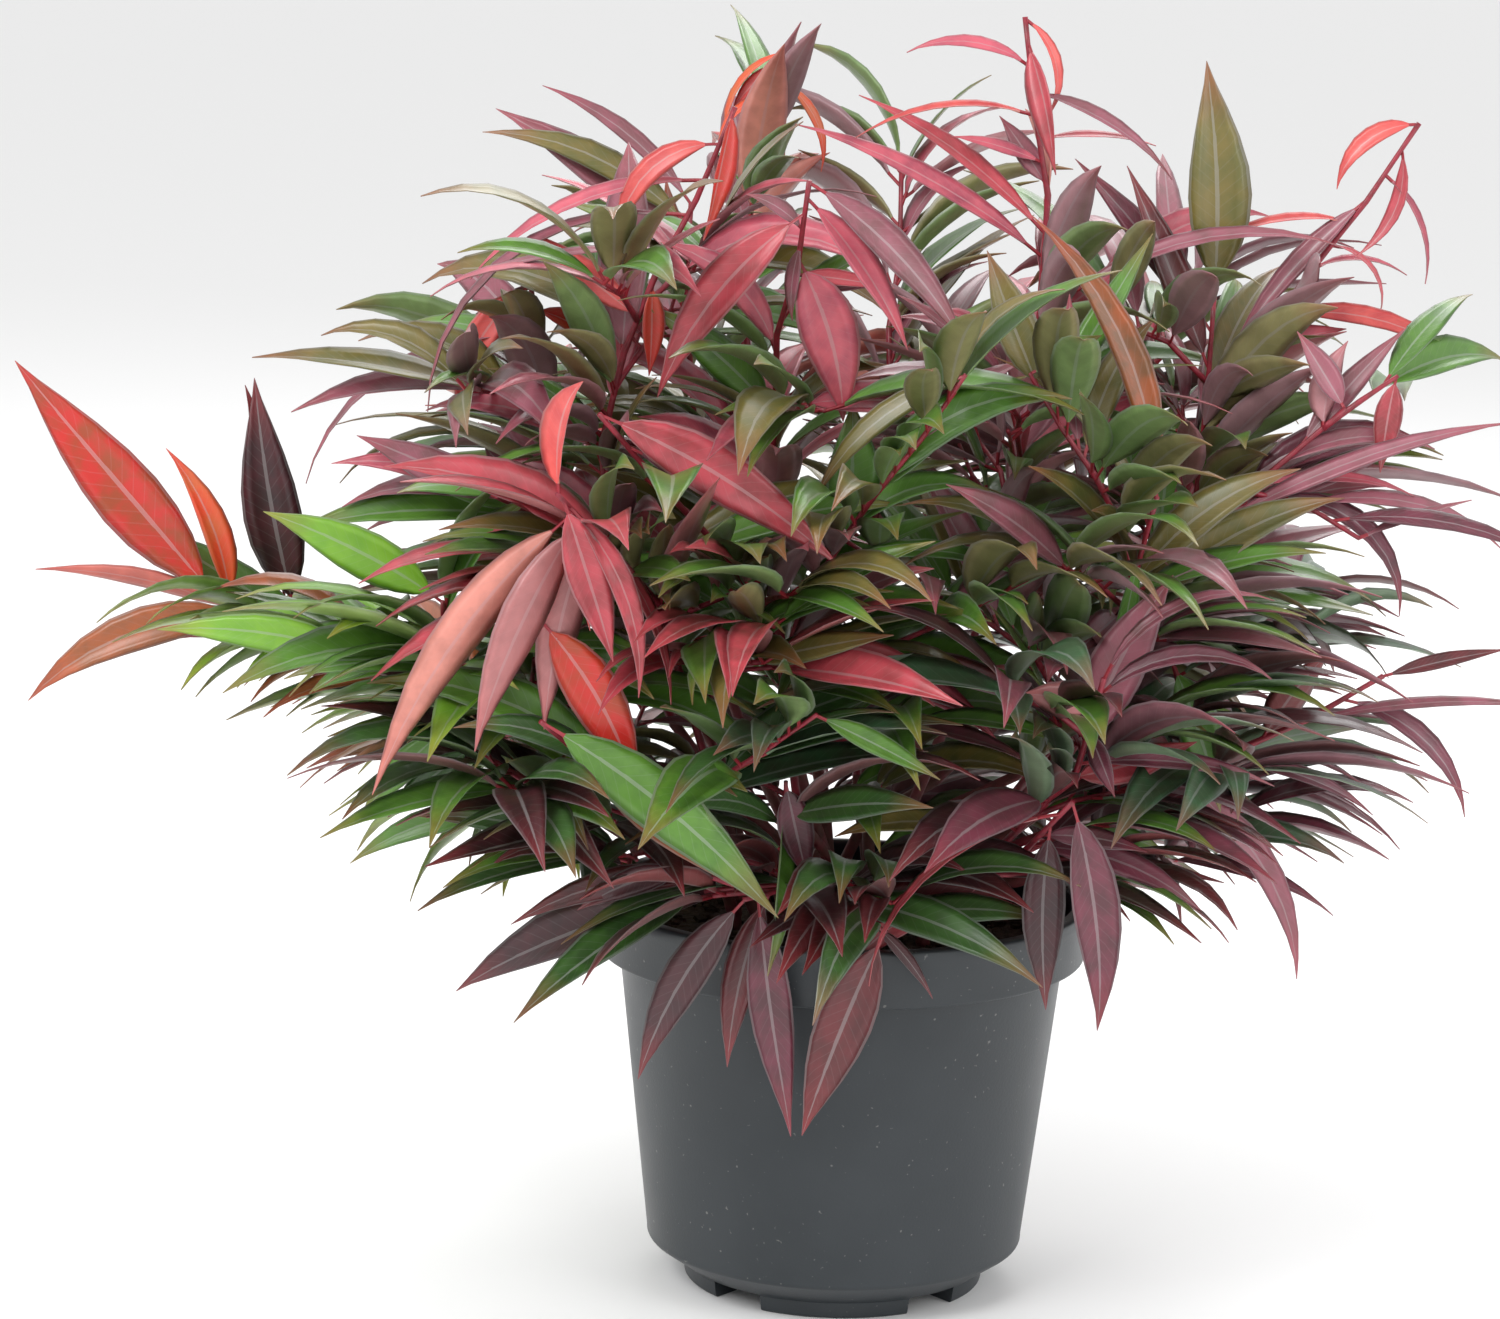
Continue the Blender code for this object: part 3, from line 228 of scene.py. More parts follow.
        Spray((60, -82, 366), 7, ((62, 30, 13, 10, 60), (-22, 54, 18, 5, 75), (24, 76, 12, 0, 60))),
        Spray((-4, -74, 302), 9, ((1, 52, 23, 0, 80),)),
    ), 16, ("rust olive green", "green olive", "green", "green olive mauve green")),
    "back_top": fillShoot(
        (8, 40, 220), (14, 76, 330), (18, 108, 424), 14, "mauve green pink olive"),
    "back_left_high": fillShoot(
        (-56, 58, 204), (-86, 88, 276), (-138, 128, 332), 14, "mauve green coral"),
    "back_left_low": fillShoot(
        (-66, 50, 172), (-104, 78, 196), (-166, 120, 214), 12, "green lime darkGreen"),
    "back_mid": fillShoot(
        (6, 66, 184), (12, 116, 244), (22, 186, 300), 14, "mauve green rose olive"),
    "back_right_high": fillShoot(
        (62, 50, 212), (94, 78, 300), (138, 112, 382), 13, "pink mauve plum green"),
    "back_right_low": fillShoot(
        (74, 54, 182), (118, 84, 220), (186, 122, 256), 12, "plum teal maroon"),
    "back_low": fillShoot(
        (-6, 62, 166), (-8, 100, 182), (-14, 166, 190), 10, "maroon darkGreen plum"),
    "right_skirt": fillShoot((64, 16, 168), (100, 26, 182), (152, 42, 186), 12, "maroon plum teal"),
}


# Points of a smooth run from start, leaving along towards, to end, arriving along arriving
def bend(start, towards, end, arriving, steps):
    reach = (end - start).length * 0.4
    return interpolate_bezier(
        start, start + towards * reach, end - arriving * reach, end, steps + 1)


# A tapering limb along points in millimetres: a bevelled curve made into a closed mesh
def tube(name, points, radii, sides):
    curve = bpy.data.curves.new(name, "CURVE")
    curve.dimensions = "3D"
    curve.use_fill_caps = True
    if sides == 3:
        curve.bevel_mode = "OBJECT"
        curve.bevel_object = twigProfile()
    else:
        curve.bevel_depth = mm
        curve.bevel_resolution = sides // 2 - 2
    line = curve.splines.new("POLY")
    line.points.add(len(points) - 1)
    for knot, point, radius in zip(line.points, points, radii):
        knot.co = (*(point * mm), 1)
        knot.radius = radius
    item = bpy.data.objects.new(name, curve)
    workshop.objects.link(item)
    mesh = evaluatedMesh(item)
    remove(item)
    return mesh


# The three-sided section that every twig is drawn along, one millimetre in radius
def twigProfile():
    made = bpy.data.objects.get("twigProfile")
    if made:
        return made
    curve = bpy.data.curves.new("twigProfile", "CURVE")
    curve.dimensions = "2D"
    line = curve.splines.new("POLY")
    line.points.add(2)
    for knot, turn in zip(line.points, (330, 210, 90)):
        angle = math.radians(turn)
        knot.co = (math.cos(angle) * mm, math.sin(angle) * mm, 0, 1)
    line.use_cyclic_u = True
    made = bpy.data.objects.new("twigProfile", curve)
    made.hide_render = True
    made.display_type = "WIRE"
    workshop.objects.link(made)
    return made


def evenRadii(first, last, count):
    return [first + (last - first) * i / (count - 1) for i in range(count)]


def pointsAndFaces(mesh):
    return [v.co / mm for v in mesh.vertices], [tuple(p.vertices) for p in mesh.polygons]


# What is already in place, so that nothing new touches it
class Occupied:
    def __init__(self):
        self.items = []

    def add(self, owner, points, faces):
        low = Vector(min(p[i] for p in points) for i in range(3))
        high = Vector(max(p[i] for p in points) for i in range(3))
        self.items.append((owner, low, high, BVHTree.FromPolygons(points, faces)))

    def addTube(self, owner, points, radii, sides):
        mesh = tube("placed", points, radii, sides)
        self.add(owner, *pointsAndFaces(mesh))
        bpy.data.meshes.remove(mesh)

    # True if a tube would meet anything but what skip(owner) leaves out
    def meetsTube(self, points, radii, sides, skip):
        mesh = tube("trial", points, radii, sides)
        corners, faces = pointsAndFaces(mesh)
        bpy.data.meshes.remove(mesh)
        return self.meets(corners, faces, skip)

    # True if a shape meets anything but what skip(owner) leaves out
    def meets(self, points, faces, skip):
        low = [min(p[i] for p in points) for i in range(3)]
        high = [max(p[i] for p in points) for i in range(3)]
        tree = None
        for owner, otherLow, otherHigh, other in self.items:
            if any(low[i] > otherHigh[i] or high[i] < otherLow[i] for i in range(3)):
                continue
            if skip(owner):
                continue
            tree = tree or BVHTree.FromPolygons(points, faces)
            if tree.overlap(other):
                return True
        return False


# A closed three-sided blade: a point at the root, one or two rings, and a point at the tip
def leafTemplate(rings):
    shape = bmesh.new()
    bmesh.ops.create_cone(
        shape, cap_ends=True, segments=3, radius1=1, radius2=rings - 1, depth=1)
    bmesh.ops.translate(shape, verts=shape.verts, vec=(0, 0, 1.5))
    for face in [f for f in shape.faces if abs(f.normal.z) > 0.9]:
        outward = 1 if face.normal.z > 0 else -1
        point = bmesh.ops.poke(shape, faces=[face])["verts"]
        bmesh.ops.translate(shape, verts=point, vec=(0, 0, outward))
    bmesh.ops.triangulate(shape, faces=shape.faces)
    bmesh.ops.recalc_face_normals(shape, faces=shape.faces)
    shape.verts.index_update()
    ring = [v for v in shape.verts if round(v.co.z) == 1 and v.co.xy.length > 0.5]
    keel = ring[0].co.xy.angle_signed(Vector((1, 0)))
    places = []
    for vert in shape.verts:
        corner = 0
        if vert.co.xy.length > 0.5:
            angle = vert.co.xy.angle_signed(Vector((1, 0))) - keel
            corner = round(-math.degrees(angle) / 120) % 3
        places.append((round(vert.co.z), corner))
    faces = [tuple(v.index for v in f.verts) for f in shape.faces]
    shape.free()
    return places, faces


# The direction that a turn seen from the front and a swing towards the viewer give
def clock(turn, swing):
    turn, swing = math.radians(turn), math.radians(swing)
    return Vector(
        (math.sin(turn) * math.cos(swing), -math.sin(swing), math.cos(turn) * math.cos(swing)))


# The part of wanted at right angles to direction, or of otherwise where that vanishes
def across(direction, wanted, otherwise):
    part = wanted - direction * wanted.dot(direction)
    if part.length < 0.1:
        part = otherwise - direction * otherwise.dot(direction)
    return part.normalized()


# One leaf: where it starts, where it heads, how it bends down and which way it faces
class Blade:
    def __init__(self, foot, chord, upper, length, width, droop):
        self.foot, self.length, self.width = foot, length, width
        self.axis = chord.cross(-upward)
        if self.axis.length < 0.05:
            self.axis = chord.cross(Vector((foot.x, foot.y, 0.1)))
        self.axis.normalize()
        self.droop = math.radians(droop)
        back = Matrix.Rotation(-self.droop / 2, 3, self.axis)
        self.heading = back @ chord
        self.upper = back @ upper

    # Centre, side and upper direction at a share of the length
    def frame(self, share):
        steps = 8
        centre = self.foot.copy()
        for i in range(steps):
            turn = Matrix.Rotation(self.droop * share * (i + 0.5) / steps, 3, self.axis)
            centre += turn @ self.heading * (self.length * share / steps)
        turn = Matrix.Rotation(self.droop * share, 3, self.axis)
        heading, upper = turn @ self.heading, turn @ self.upper
        return centre, heading.cross(upper), upper

    # The template's points on this leaf, larger all round by swell, or short of its stalk
    def points(self, places, swell=0.0, start=0.0):
        rings = max(place[0] for place in places) - 1
        root = self.frame(start)[0] if start else self.foot - self.heading * sunk
        stations = [(root,)]
        for share, wide in ((widest, 1), (shoulder, shoulderWide))[:rings]:
            centre, side, upper = self.frame(share)
            half = self.width * wide / 2 + swell
            deep = max(self.length * thin, self.width * wide * fold)
            keel = centre - upper * (deep * 0.6 + swell)
            rise = upper * (deep * 0.4 + swell)
            stations.append((keel, centre + side * half + rise, centre - side * half + rise))
        stations.append((self.frame(1.0 + swell / self.length)[0],))
        return [stations[station][corner] for station, corner in places]


# A leaf of a spray's list, turned a little more each time shake grows
def aimed(foot, leaf, shake):
    turn = leaf.turn + shake.uniform(-1, 1) * shake.reach * turnShare
    swing = leaf.swing + shake.uniform(-1, 1) * shake.reach * swingShare
    face = leaf.face + shake.uniform(-1, 1) * shake.reach
    chord = clock(turn, swing)
    up = across(chord, upward, Vector((1, 0, 0)))
    viewer = across(chord, toViewer, upward)
    viewer = (viewer - up * viewer.dot(up)).normalized()
    angle = math.radians(face)
    return Blade(
        foot, chord, up * math.cos(angle) + viewer * math.sin(angle), leaf.length, leaf.width,
        leaf.droop)


# Seeded chance with a reach that starts at nothing and grows with each try
class Shake(random.Random):
    reach = 0.0


# Seeded chance for one twig or leaf, the same whatever is made before it
def chance(*names):
    return Shake(" ".join(str(n) for n in names))


# How a leaf by the rule leaves its twig: a share of each direction, then its size and bend
ruleLeaf = {
    "along": (0.2, 0.7), "beside": (0.6, 1.1), "outward": (0.1, 0.8), "upward": (-0.35, 0.35),
    "facing": (-0.45, 0.45), "length": (66, 104), "slim": (0.19, 0.26), "droop": (15, 75)}


# A leaf by the rule: out to one side of its twig, facing up and outwards, bending down
def grown(foot, along, side, draw):
    def pick(key):
        return draw.uniform(*ruleLeaf[key])

    outward = Vector((foot.x, foot.y, 0.15 * abs(foot.z - soilTop))).normalized()
    beside = across(along, upward, outward).cross(along) * side
    chord = (
        along * pick("along") + beside * pick("beside") + outward * pick("outward")
        + upward * pick("upward"))
    chord.normalize()
    wanted = upward * 0.8 + outward * 0.55 + Vector(pick("facing") for _ in range(3))
    length = pick("length")
    return Blade(
        foot, chord, across(chord, wanted, outward), length, length * pick("slim"), pick("droop"))


# A run of points with its length, for placing leaves and side twigs along it
class Stem:
    def __init__(self, points):
        self.points = points
        self.lengths = [0.0]
        for a, b in zip(points, points[1:]):
            self.lengths.append(self.lengths[-1] + (b - a).length)
        self.length = self.lengths[-1]

    # The point and direction at a distance from the foot
    def at(self, distance):
        distance = min(max(distance, 0), self.length)
        for i in range(1, len(self.points)):
            if distance <= self.lengths[i] or i == len(self.points) - 1:
                run = self.points[i] - self.points[i - 1]
                share = (distance - self.lengths[i - 1]) / max(run.length, 1e-6)
                return self.points[i - 1] + run * share, run.normalized()

    # The distance from the foot of the point nearest to place
    def nearest(self, place):
        trials = [self.length * i / 40 for i in range(41)]
        return min(trials, key=lambda d: (self.at(d)[0] - place).length)


# The points moved to either side in turn, as a leucothoe's stem bends at each leaf
def zigzag(points):
    moved = [points[0]]
    for i in range(1, len(points) - 1):
        along = (points[i + 1] - points[i - 1]).normalized()
        beside = across(along, upward, toViewer).cross(along)
        moved.append(points[i] + beside * zigzagOut * (-1) ** i)
    return moved + [points[-1]]


# The bough's points from the compost to via, and the stem's from there to the first spray
def shootCourse(shoot, foot, shift):
    via, past = Vector(shoot.via) + shift, Vector(shoot.past) + shift
    tip = Vector(shoot.sprays[0].to)
    joining = ((via - foot).normalized() + (past - via).normalized()).normalized()
    passing = ((past - via).normalized() + (tip - past).normalized()).normalized()
    bough = [foot] + bend(foot + upward * boughStump, upward, via, joining, boughSteps)
    start = via + joining * joint
    arriving = ((tip - past).normalized() * 1.5 + upward * 0.2).normalized()
    lower = bend(start, joining, past, passing, stepsFor(start, past))
    upper = bend(past, passing, tip, arriving, stepsFor(past, tip))
    return bough, zigzag(lower + upper[1:])


def stepsFor(start, end):
    return max(1, round((end - start).length / stemStep))


def steepness(name):
    x, y, z = shoots[name].past
    return math.hypot(x, y) / z


# Each bough's place on the compost: the steepest shoots innermost, each ring in the order of its
# shoots' bearings
def feet():
    steep = sorted(shoots, key=steepness)
    places, first = {}, 0
    for count, radius in rings:
        ring = steep[first:first + count]
        first += count
        bearing = {name: math.atan2(shoots[name].past[1], shoots[name].past[0]) for name in ring}
        order = sorted(ring, key=bearing.get)
        slot = 2 * math.pi / count

        def mismatch(shift):
            return sum(
                abs(math.remainder(bearing[name] - slot * (i + shift), 2 * math.pi))
                for i, name in enumerate(order))

        shift = min((step / 4 for step in range(4 * count)), key=mismatch)
        for i, name in enumerate(order):
            angle = slot * (i + shift)
            places[name] = Vector(
                (radius * math.cos(angle), radius * math.sin(angle), soilTop + clear))
    return places


def boughRadii(bough):
    radii = evenRadii(boughFootR, boughTipR, len(bough))
    radii[0] *= boughFlare
    return radii


# A shoot's course, shifted a little more each time until it meets nothing in place
def freeCourse(name, foot, room):
    draw = chance(name, "course")
    for attempt in range(courseTries):
        shift = Vector(draw.uniform(-1, 1) for _ in range(3)) * attempt * courseShift
        turn = Matrix.Rotation(draw.uniform(-1, 1) * attempt * courseTurn, 3, "Z")
        bough, stem = shootCourse(shoots[name], turn @ foot, shift)
        thick = [r + clear for r in boughRadii(bough)]
        wide = evenRadii(stemR + swell, stemTipR + swell, len(stem))
        if not (room.meetsTube(bough, thick, 6, lambda owner: owner == "compost")
                or room.meetsTube(stem, wide, 3, lambda owner: False)):
            return bough, stem
    print(name, "has no free course")
    return bough, stem


# Leaf tints as upper colour, second colour of its mottling and underside
tints = {
    "scarlet": ((0.50, 0.018, 0.012), (0.30, 0.045, 0.010), (0.55, 0.13, 0.10)),
    "flame": ((0.66, 0.06, 0.018), (0.50, 0.12, 0.03), (0.62, 0.20, 0.10)),
    "coral": ((0.60, 0.085, 0.075), (0.42, 0.035, 0.04), (0.66, 0.25, 0.20)),
    "rose": ((0.46, 0.055, 0.075), (0.24, 0.035, 0.04), (0.46, 0.17, 0.17)),
    "pink": ((0.50, 0.085, 0.12), (0.26, 0.04, 0.07), (0.50, 0.22, 0.24)),
    "mauve": ((0.27, 0.075, 0.105), (0.15, 0.055, 0.060), (0.36, 0.20, 0.22)),
    "plum": ((0.145, 0.028, 0.048), (0.070, 0.022, 0.028), (0.24, 0.10, 0.12)),
    "maroon": ((0.060, 0.011, 0.016), (0.028, 0.010, 0.012), (0.20, 0.09, 0.09)),
    "burgundy": ((0.11, 0.012, 0.016), (0.045, 0.010, 0.010), (0.22, 0.06, 0.06)),
    "rust": ((0.32, 0.075, 0.018), (0.15, 0.060, 0.018), (0.36, 0.19, 0.10)),
    "olive": ((0.15, 0.115, 0.025), (0.075, 0.085, 0.018), (0.27, 0.25, 0.11)),
    "lime": ((0.17, 0.36, 0.020), (0.10, 0.26, 0.018), (0.28, 0.40, 0.12)),
    "green": ((0.085, 0.205, 0.022), (0.050, 0.130, 0.016), (0.20, 0.30, 0.11)),
    "darkGreen": ((0.034, 0.095, 0.016), (0.020, 0.050, 0.012), (0.15, 0.22, 0.09)),
    "teal": ((0.036, 0.095, 0.040), (0.045, 0.055, 0.030), (0.15, 0.22, 0.13)),
}
# For some tints, another tint's name, passed on to addPiece in their place
slots = {
    "flame": "scarlet", "plum": "maroon", "burgundy": "maroon", "rust": "olive",
    "darkGreen": "green", "teal": "green"}

byRule = -1  # the palette of the leaves by the rule, which is each shoot's last

# Growth by the rule, as in the part, and finer growth between its leaves: side twigs, how far
# they head along the stem, and the spans of their start, reach and rise, drawn in the order given
ruleGrowth = {
    "twigs": 3, "forward": 0.6, "spans": {"start": (0.05, 0.65), "reach": (34, 62), "rise": (-0.3, 0.4)},
    "tries": tries, "size": 1, "gap": swell, "inBox": False, "tintShift": 0}
finer = {
    "twigs": 3, "forward": 0.4, "spans": {"start": (0.02, 0.40), "rise": (-0.5, 0.2), "reach": (30, 60)},
    "tries": 5, "size": 0.85, "gap": 0.15, "inBox": True, "tintShift": 1}
finerLeaves = 44  # for each shoot
finerLifts = (0.5, 0.25, 0.75)  # the shares of a node between the part's own leaves


def meshFrom(name, shape):
    mesh = bpy.data.meshes.new(name)
    shape.to_mesh(mesh)
    shape.free()
    return mesh


# The mesh of an object with its modifiers or its bevel applied, and its caps welded
def evaluatedMesh(item):
    bpy.context.view_layer.update()
    shown = item.evaluated_get(bpy.context.evaluated_depsgraph_get())
    mesh = bpy.data.meshes.new_from_object(shown)
    shape = bmesh.new()
    shape.from_mesh(mesh)
    bmesh.ops.remove_doubles(shape, verts=shape.verts, dist=1e-6)
    shape.to_mesh(mesh)
    shape.free()
    return mesh


def remove(item):
    data = item.data
    bpy.data.objects.remove(item)
    if isinstance(data, bpy.types.Mesh):
        bpy.data.meshes.remove(data)
    elif isinstance(data, bpy.types.Curve):
        bpy.data.curves.remove(data)


# One shoot's twigs and leaves
class Mass:
    def __init__(self, name, room):
        self.name, self.room = name, room
        self.twigs, self.blades = [], []

    def isOwn(self, owner):
        return owner == self.name

    def twig(self, points, first, last):
        wide = evenRadii(first + swell, last + swell, len(points))
        if self.twigs and self.room.meetsTube(points, wide, 3, self.isOwn):
            return None
        self.room.addTube(self.name, points, evenRadii(first, last, len(points)), 3)
        self.twigs.append(Stem(points))
        return self.twigs[-1]

    def sideTwig(self, place):
        stem = self.twigs[0]
        near = stem.nearest(place)
        away = (stem.at(near)[0] - place).length
        start, along = stem.at(max(near - away * sideBack, stem.length * sideLowest))
        run = (place - start).normalized()
        leaving = (run + along * sideAlong + upward * sideRise).normalized()
        points = zigzag(bend(start, leaving, place, run, stepsFor(start, place) + 1))
        return self.twig(points, twigR, twigTipR)

    # Adds the leaf unless it meets something
    def addLeaf(self, blade, template, tint, gap=swell):
        places, faces = template
        if self.room.meets(blade.points(places, gap), faces, self.isOwn):
            return False
        free = blade.points(places, 0.0, stalk)
        if self.room.meets(free, faces, lambda owner: not self.isOwn(owner)):
            return False
        self.room.add(self.name, blade.points(places), faces)
        self.blades.append((blade, tint))
        return True


def tintOf(name, spray, order):
    tints = shoots[name].tints
    words = tints[min(spray, len(tints) - 1)].split()
    return words[order % len(words)]


# The part's own growth, leaf for leaf, and after it the finer growth between its leaves
def growMasses(room):
    bent, plain = leafTemplate(2), leafTemplate(1)
    masses, places, boughs = {}, feet(), {}
    for name in shoots:
        boughs[name], stem = freeCourse(name, places[name], room)
        room.addTube(f"{name}_bough", boughs[name], boughRadii(boughs[name]), 6)
        masses[name] = Mass(name, room)
        masses[name].twig(stem, stemR, stemTipR)
    for name, shoot in shoots.items():
        for number, spray in enumerate(shoot.sprays):
            growSpray(masses[name], number, spray, bent)
    spots = {name: growByRule(name, masses[name], plain) for name in shoots}
    print("leaves as in the part:", sum(len(mass.blades) for mass in masses.values()))
    for name in shoots:
        growFiner(name, masses[name], spots[name], plain)
    print("leaves in all:", sum(len(mass.blades) for mass in masses.values()))
    return boughs, masses


# The listed leaves of one spray, each turned a little more until it is free
def growSpray(mass, number, spray, template):
    twig = mass.twigs[0] if number == 0 else mass.sideTwig(Vector(spray.to))
    if twig is None:
        return
    for order, leaf in enumerate(spray.leaves):
        foot = twig.at(twig.length - tipGap - order * spray.pitch)[0]
        draw, tint = chance(mass.name, number, order), tintOf(mass.name, number, order)
        for attempt in range(tries):
            draw.reach = attempt * tryStep
            if mass.addLeaf(aimed(foot, Leaf(*leaf), draw), template, tint):
                break


# A side twig by the rule, to either side of the stem in turn
def addTwig(mass, number, draw, form):
    picked = {key: draw.uniform(*span) for key, span in form["spans"].items()}
    stem = mass.twigs[0]
    start, along = stem.at(stem.length * picked["start"])
    beside = across(along, upward, toViewer).cross(along) * (-1) ** number
    heading = along * form["forward"] + beside + upward * picked["rise"]
    return mass.sideTwig(start + heading.normalized() * picked["reach"])


# One more leaf at a distance along a twig, tried on one side and then on the other
def tryLeaf(mass, template, number, order, distance, draw, form):
    foot, along = mass.twigs[number].at(distance)
    tint = tintOf(mass.name, byRule, order + form["tintShift"])
    for attempt in range(form["tries"]):
        blade = grown(foot, along, (-1) ** (order + attempt), draw)
        blade.length *= form["size"]
        blade.width *= form["size"]
        tip = blade.frame(1.0)[0] * mm
        inside = all(cadBounds[0][i] < tip[i] < cadBounds[1][i] for i in range(3))
        if form["inBox"] and not inside:
            continue
        if mass.addLeaf(blade, template, tint, form["gap"]):
            return True
    return False


# Twigs and leaves that the photo doesn't show. Gives every place where a leaf could grow.
def growByRule(name, mass, template):
    shoot, draw = shoots[name], chance(name, "twigs")
    for number in range(ruleGrowth["twigs"]):
        addTwig(mass, number, draw, ruleGrowth)
    spots = []
    for number, twig in enumerate(mass.twigs):
        spray = shoot.sprays[number] if number < len(shoot.sprays) else None
        first = twig.length - (len(spray.leaves) * spray.pitch + 6 if spray else 1)
        spots += [
            (number, order, first - order * node) for order in range(int(max(first, 0) / node))]
    chance(name, "order").shuffle(spots)
    made = 0
    for number, order, distance in spots:
        if made < shoot.more:
            draw = chance(name, number, order, "leaf")
            made += tryLeaf(mass, template, number, order, distance, draw, ruleGrowth)
    return spots


# More leaves from the same twigs, a part of a node on, within the part's own box
def growFiner(name, mass, spots, template):
    draw = chance(name, "finer twigs")
    for number in range(finer["twigs"]):
        twig = addTwig(mass, number, draw, finer)
        if twig:
            last, count = len(mass.twigs) - 1, int(twig.length / node)
            spots += [(last, order, twig.length - 1 - order * node) for order in range(count)]
    made = 0
    for number, order, distance, lift in [(*s, lift) for lift in finerLifts for s in spots]:
        if made < finerLeaves:
            draw = chance(name, number, order, lift, "finer")
            made += tryLeaf(mass, template, number, order, distance + node * lift, draw, finer)


# The half width of a blade at a share of its length, as a share of its greatest half width
def outline(share):
    stalkShare, rise, fall = 0.075, 0.8, 1.3
    if share <= stalkShare:
        return 0.0
    run = (share - stalkShare) / (1 - stalkShare)
    best = rise / (rise + fall)
    return (run / best) ** rise * ((1 - run) / (1 - best)) ** fall


# A closed sleeve round a leaf: places as (station, corner), and its faces
def sleeve(stations, corners):
    shape = bmesh.new()
    bmesh.ops.create_grid(shape, x_segments=corners, y_segments=stations - 1, size=0.5)
    bmesh.ops.translate(shape, verts=shape.verts, vec=(0.5, 0.5, 0))
    places = [
        (round(v.co.y * (stations - 1)), round(v.co.x * corners) % corners) for v in shape.verts]
    order = {place: i for i, place in enumerate(dict.fromkeys(places))}
    faces = [tuple(order[places[v.index]] for v in f.verts) for f in shape.faces]
    shape.free()
    return list(order), faces


# A leaf's look: slender is its width beside the part's, sway and hook are its sideways curve and
# bent-down tip as shares of its length, fold and ripple shares of its half width, and stalkTo and
# rootTo shares of its length where it is thicker; halves and thicknesses are millimetres
leafLook = {
    "slender": 0.9, "sway": 0.035, "hook": 0.07, "fold": (0.10, 0.55), "ripple": (0.0, 0.05),
    "waves": 17, "stalkHalf": 0.55, "leastHalf": 0.12, "thick": 0.34, "stalkThick": 0.7,
    "stalkTo": 0.2, "rootTo": 0.1}
stationShares = (0.0, 0.04, 0.08, 0.14, 0.22, 0.32, 0.43, 0.55, 0.68, 0.80, 0.91, 1.0)
cornerAcross = (-1.0, -0.55, 0.0, 0.55, 1.0, 0.55, 0.0, -0.55)
firstUnder = 5  # the corners from here on are on the underside


# Adds one leaf's corners and faces to lists that become a mesh
def addBlade(lists, blade, template, draw):
    places, faces = template
    corners, polygons, along, sides, tones, lower = lists
    foldUp, ripple = draw.uniform(*leafLook["fold"]), draw.uniform(*leafLook["ripple"])
    phase, tone, first = draw.uniform(0, 6.3), draw.random(), len(corners)
    sway = draw.uniform(-leafLook["sway"], leafLook["sway"])
    hook = draw.uniform(0, leafLook["hook"])
    spots = {}
    for station, share in enumerate(stationShares):
        centre, side, upper = blade.frame(share)
        centre += side * (sway * math.sin(share * math.pi) * blade.length)
        centre -= upper * (hook * share ** 4 * blade.length)
        least = leafLook["stalkHalf"] if share < leafLook["stalkTo"] else leafLook["leastHalf"]
        half = max(blade.width * leafLook["slender"] / 2 * outline(share), least)
        thick = leafLook["thick"] + (leafLook["stalkThick"] if share < leafLook["rootTo"] else 0)
        for corner, place in enumerate(cornerAcross):
            rise = abs(place) * half * foldUp
            wave = math.sin(share * leafLook["waves"] + phase + place)
            rise += wave * ripple * half * abs(place)
            if corner >= firstUnder:
                rise -= thick
            spots[(station, corner)] = centre + side * (place * half) + upper * rise
    for station, corner in places:
        corners.append(spots[(station, corner)] * mm)
        along.append(stationShares[station])
        sides.append(cornerAcross[corner])
        tones.append(tone)
    for face in faces:
        polygons.append(tuple(first + i for i in face))
        lower.append(any(places[i][1] >= firstUnder for i in face))


# A shader node group with its sockets, all of them plain values
def newGroup(name, inputs, outputs):
    group = bpy.data.node_groups.new(name, "ShaderNodeTree")
    for labels, way in ((inputs, "INPUT"), (outputs, "OUTPUT")):
        for label in labels:
            group.interface.new_socket(label, in_out=way, socket_type="NodeSocketFloat")
    given, out = group.nodes.new("NodeGroupInput"), group.nodes.new("NodeGroupOutput")
    return group, given.outputs, out.inputs


def placeGroup(tree, group, **values):
    made = tree.nodes.new("ShaderNodeGroup")
    made.node_tree = group
    for label, value in values.items():
        made.inputs[label].default_value = value
    return made.outputs


def mathNode(group, operation, first, second=None, third=None):
    made = group.nodes.new("ShaderNodeMath")
    made.operation = operation
    for socket, value in zip(made.inputs, (first, second, third)):
        if value is None:
            continue
        if isinstance(value, (int, float)):
            socket.default_value = value
        else:
            group.links.new(value, socket)
    return made.outputs[0]


# A value spread over 0 to 1 between low and high
def spreadOut(tree, value, low, high):
    spread = tree.nodes.new("ShaderNodeMapRange")
    for label, bound in (("Value", value), ("From Min", low), ("From Max", high)):
        if isinstance(bound, float):
            spread.inputs[label].default_value = bound
        else:
            tree.links.new(bound, spread.inputs[label])
    return spread.outputs["Result"]


# Veins along a leaf and their slant, and where each mark ends or starts as a share of the half
# width or of the length
leafDrawn = {
    "veins": 19.0, "veinSlant": -2.1, "veinWide": 0.10, "midribTo": 0.07, "marginFrom": 0.90,
    "stalkTo": 0.085, "tipFrom": 0.72}


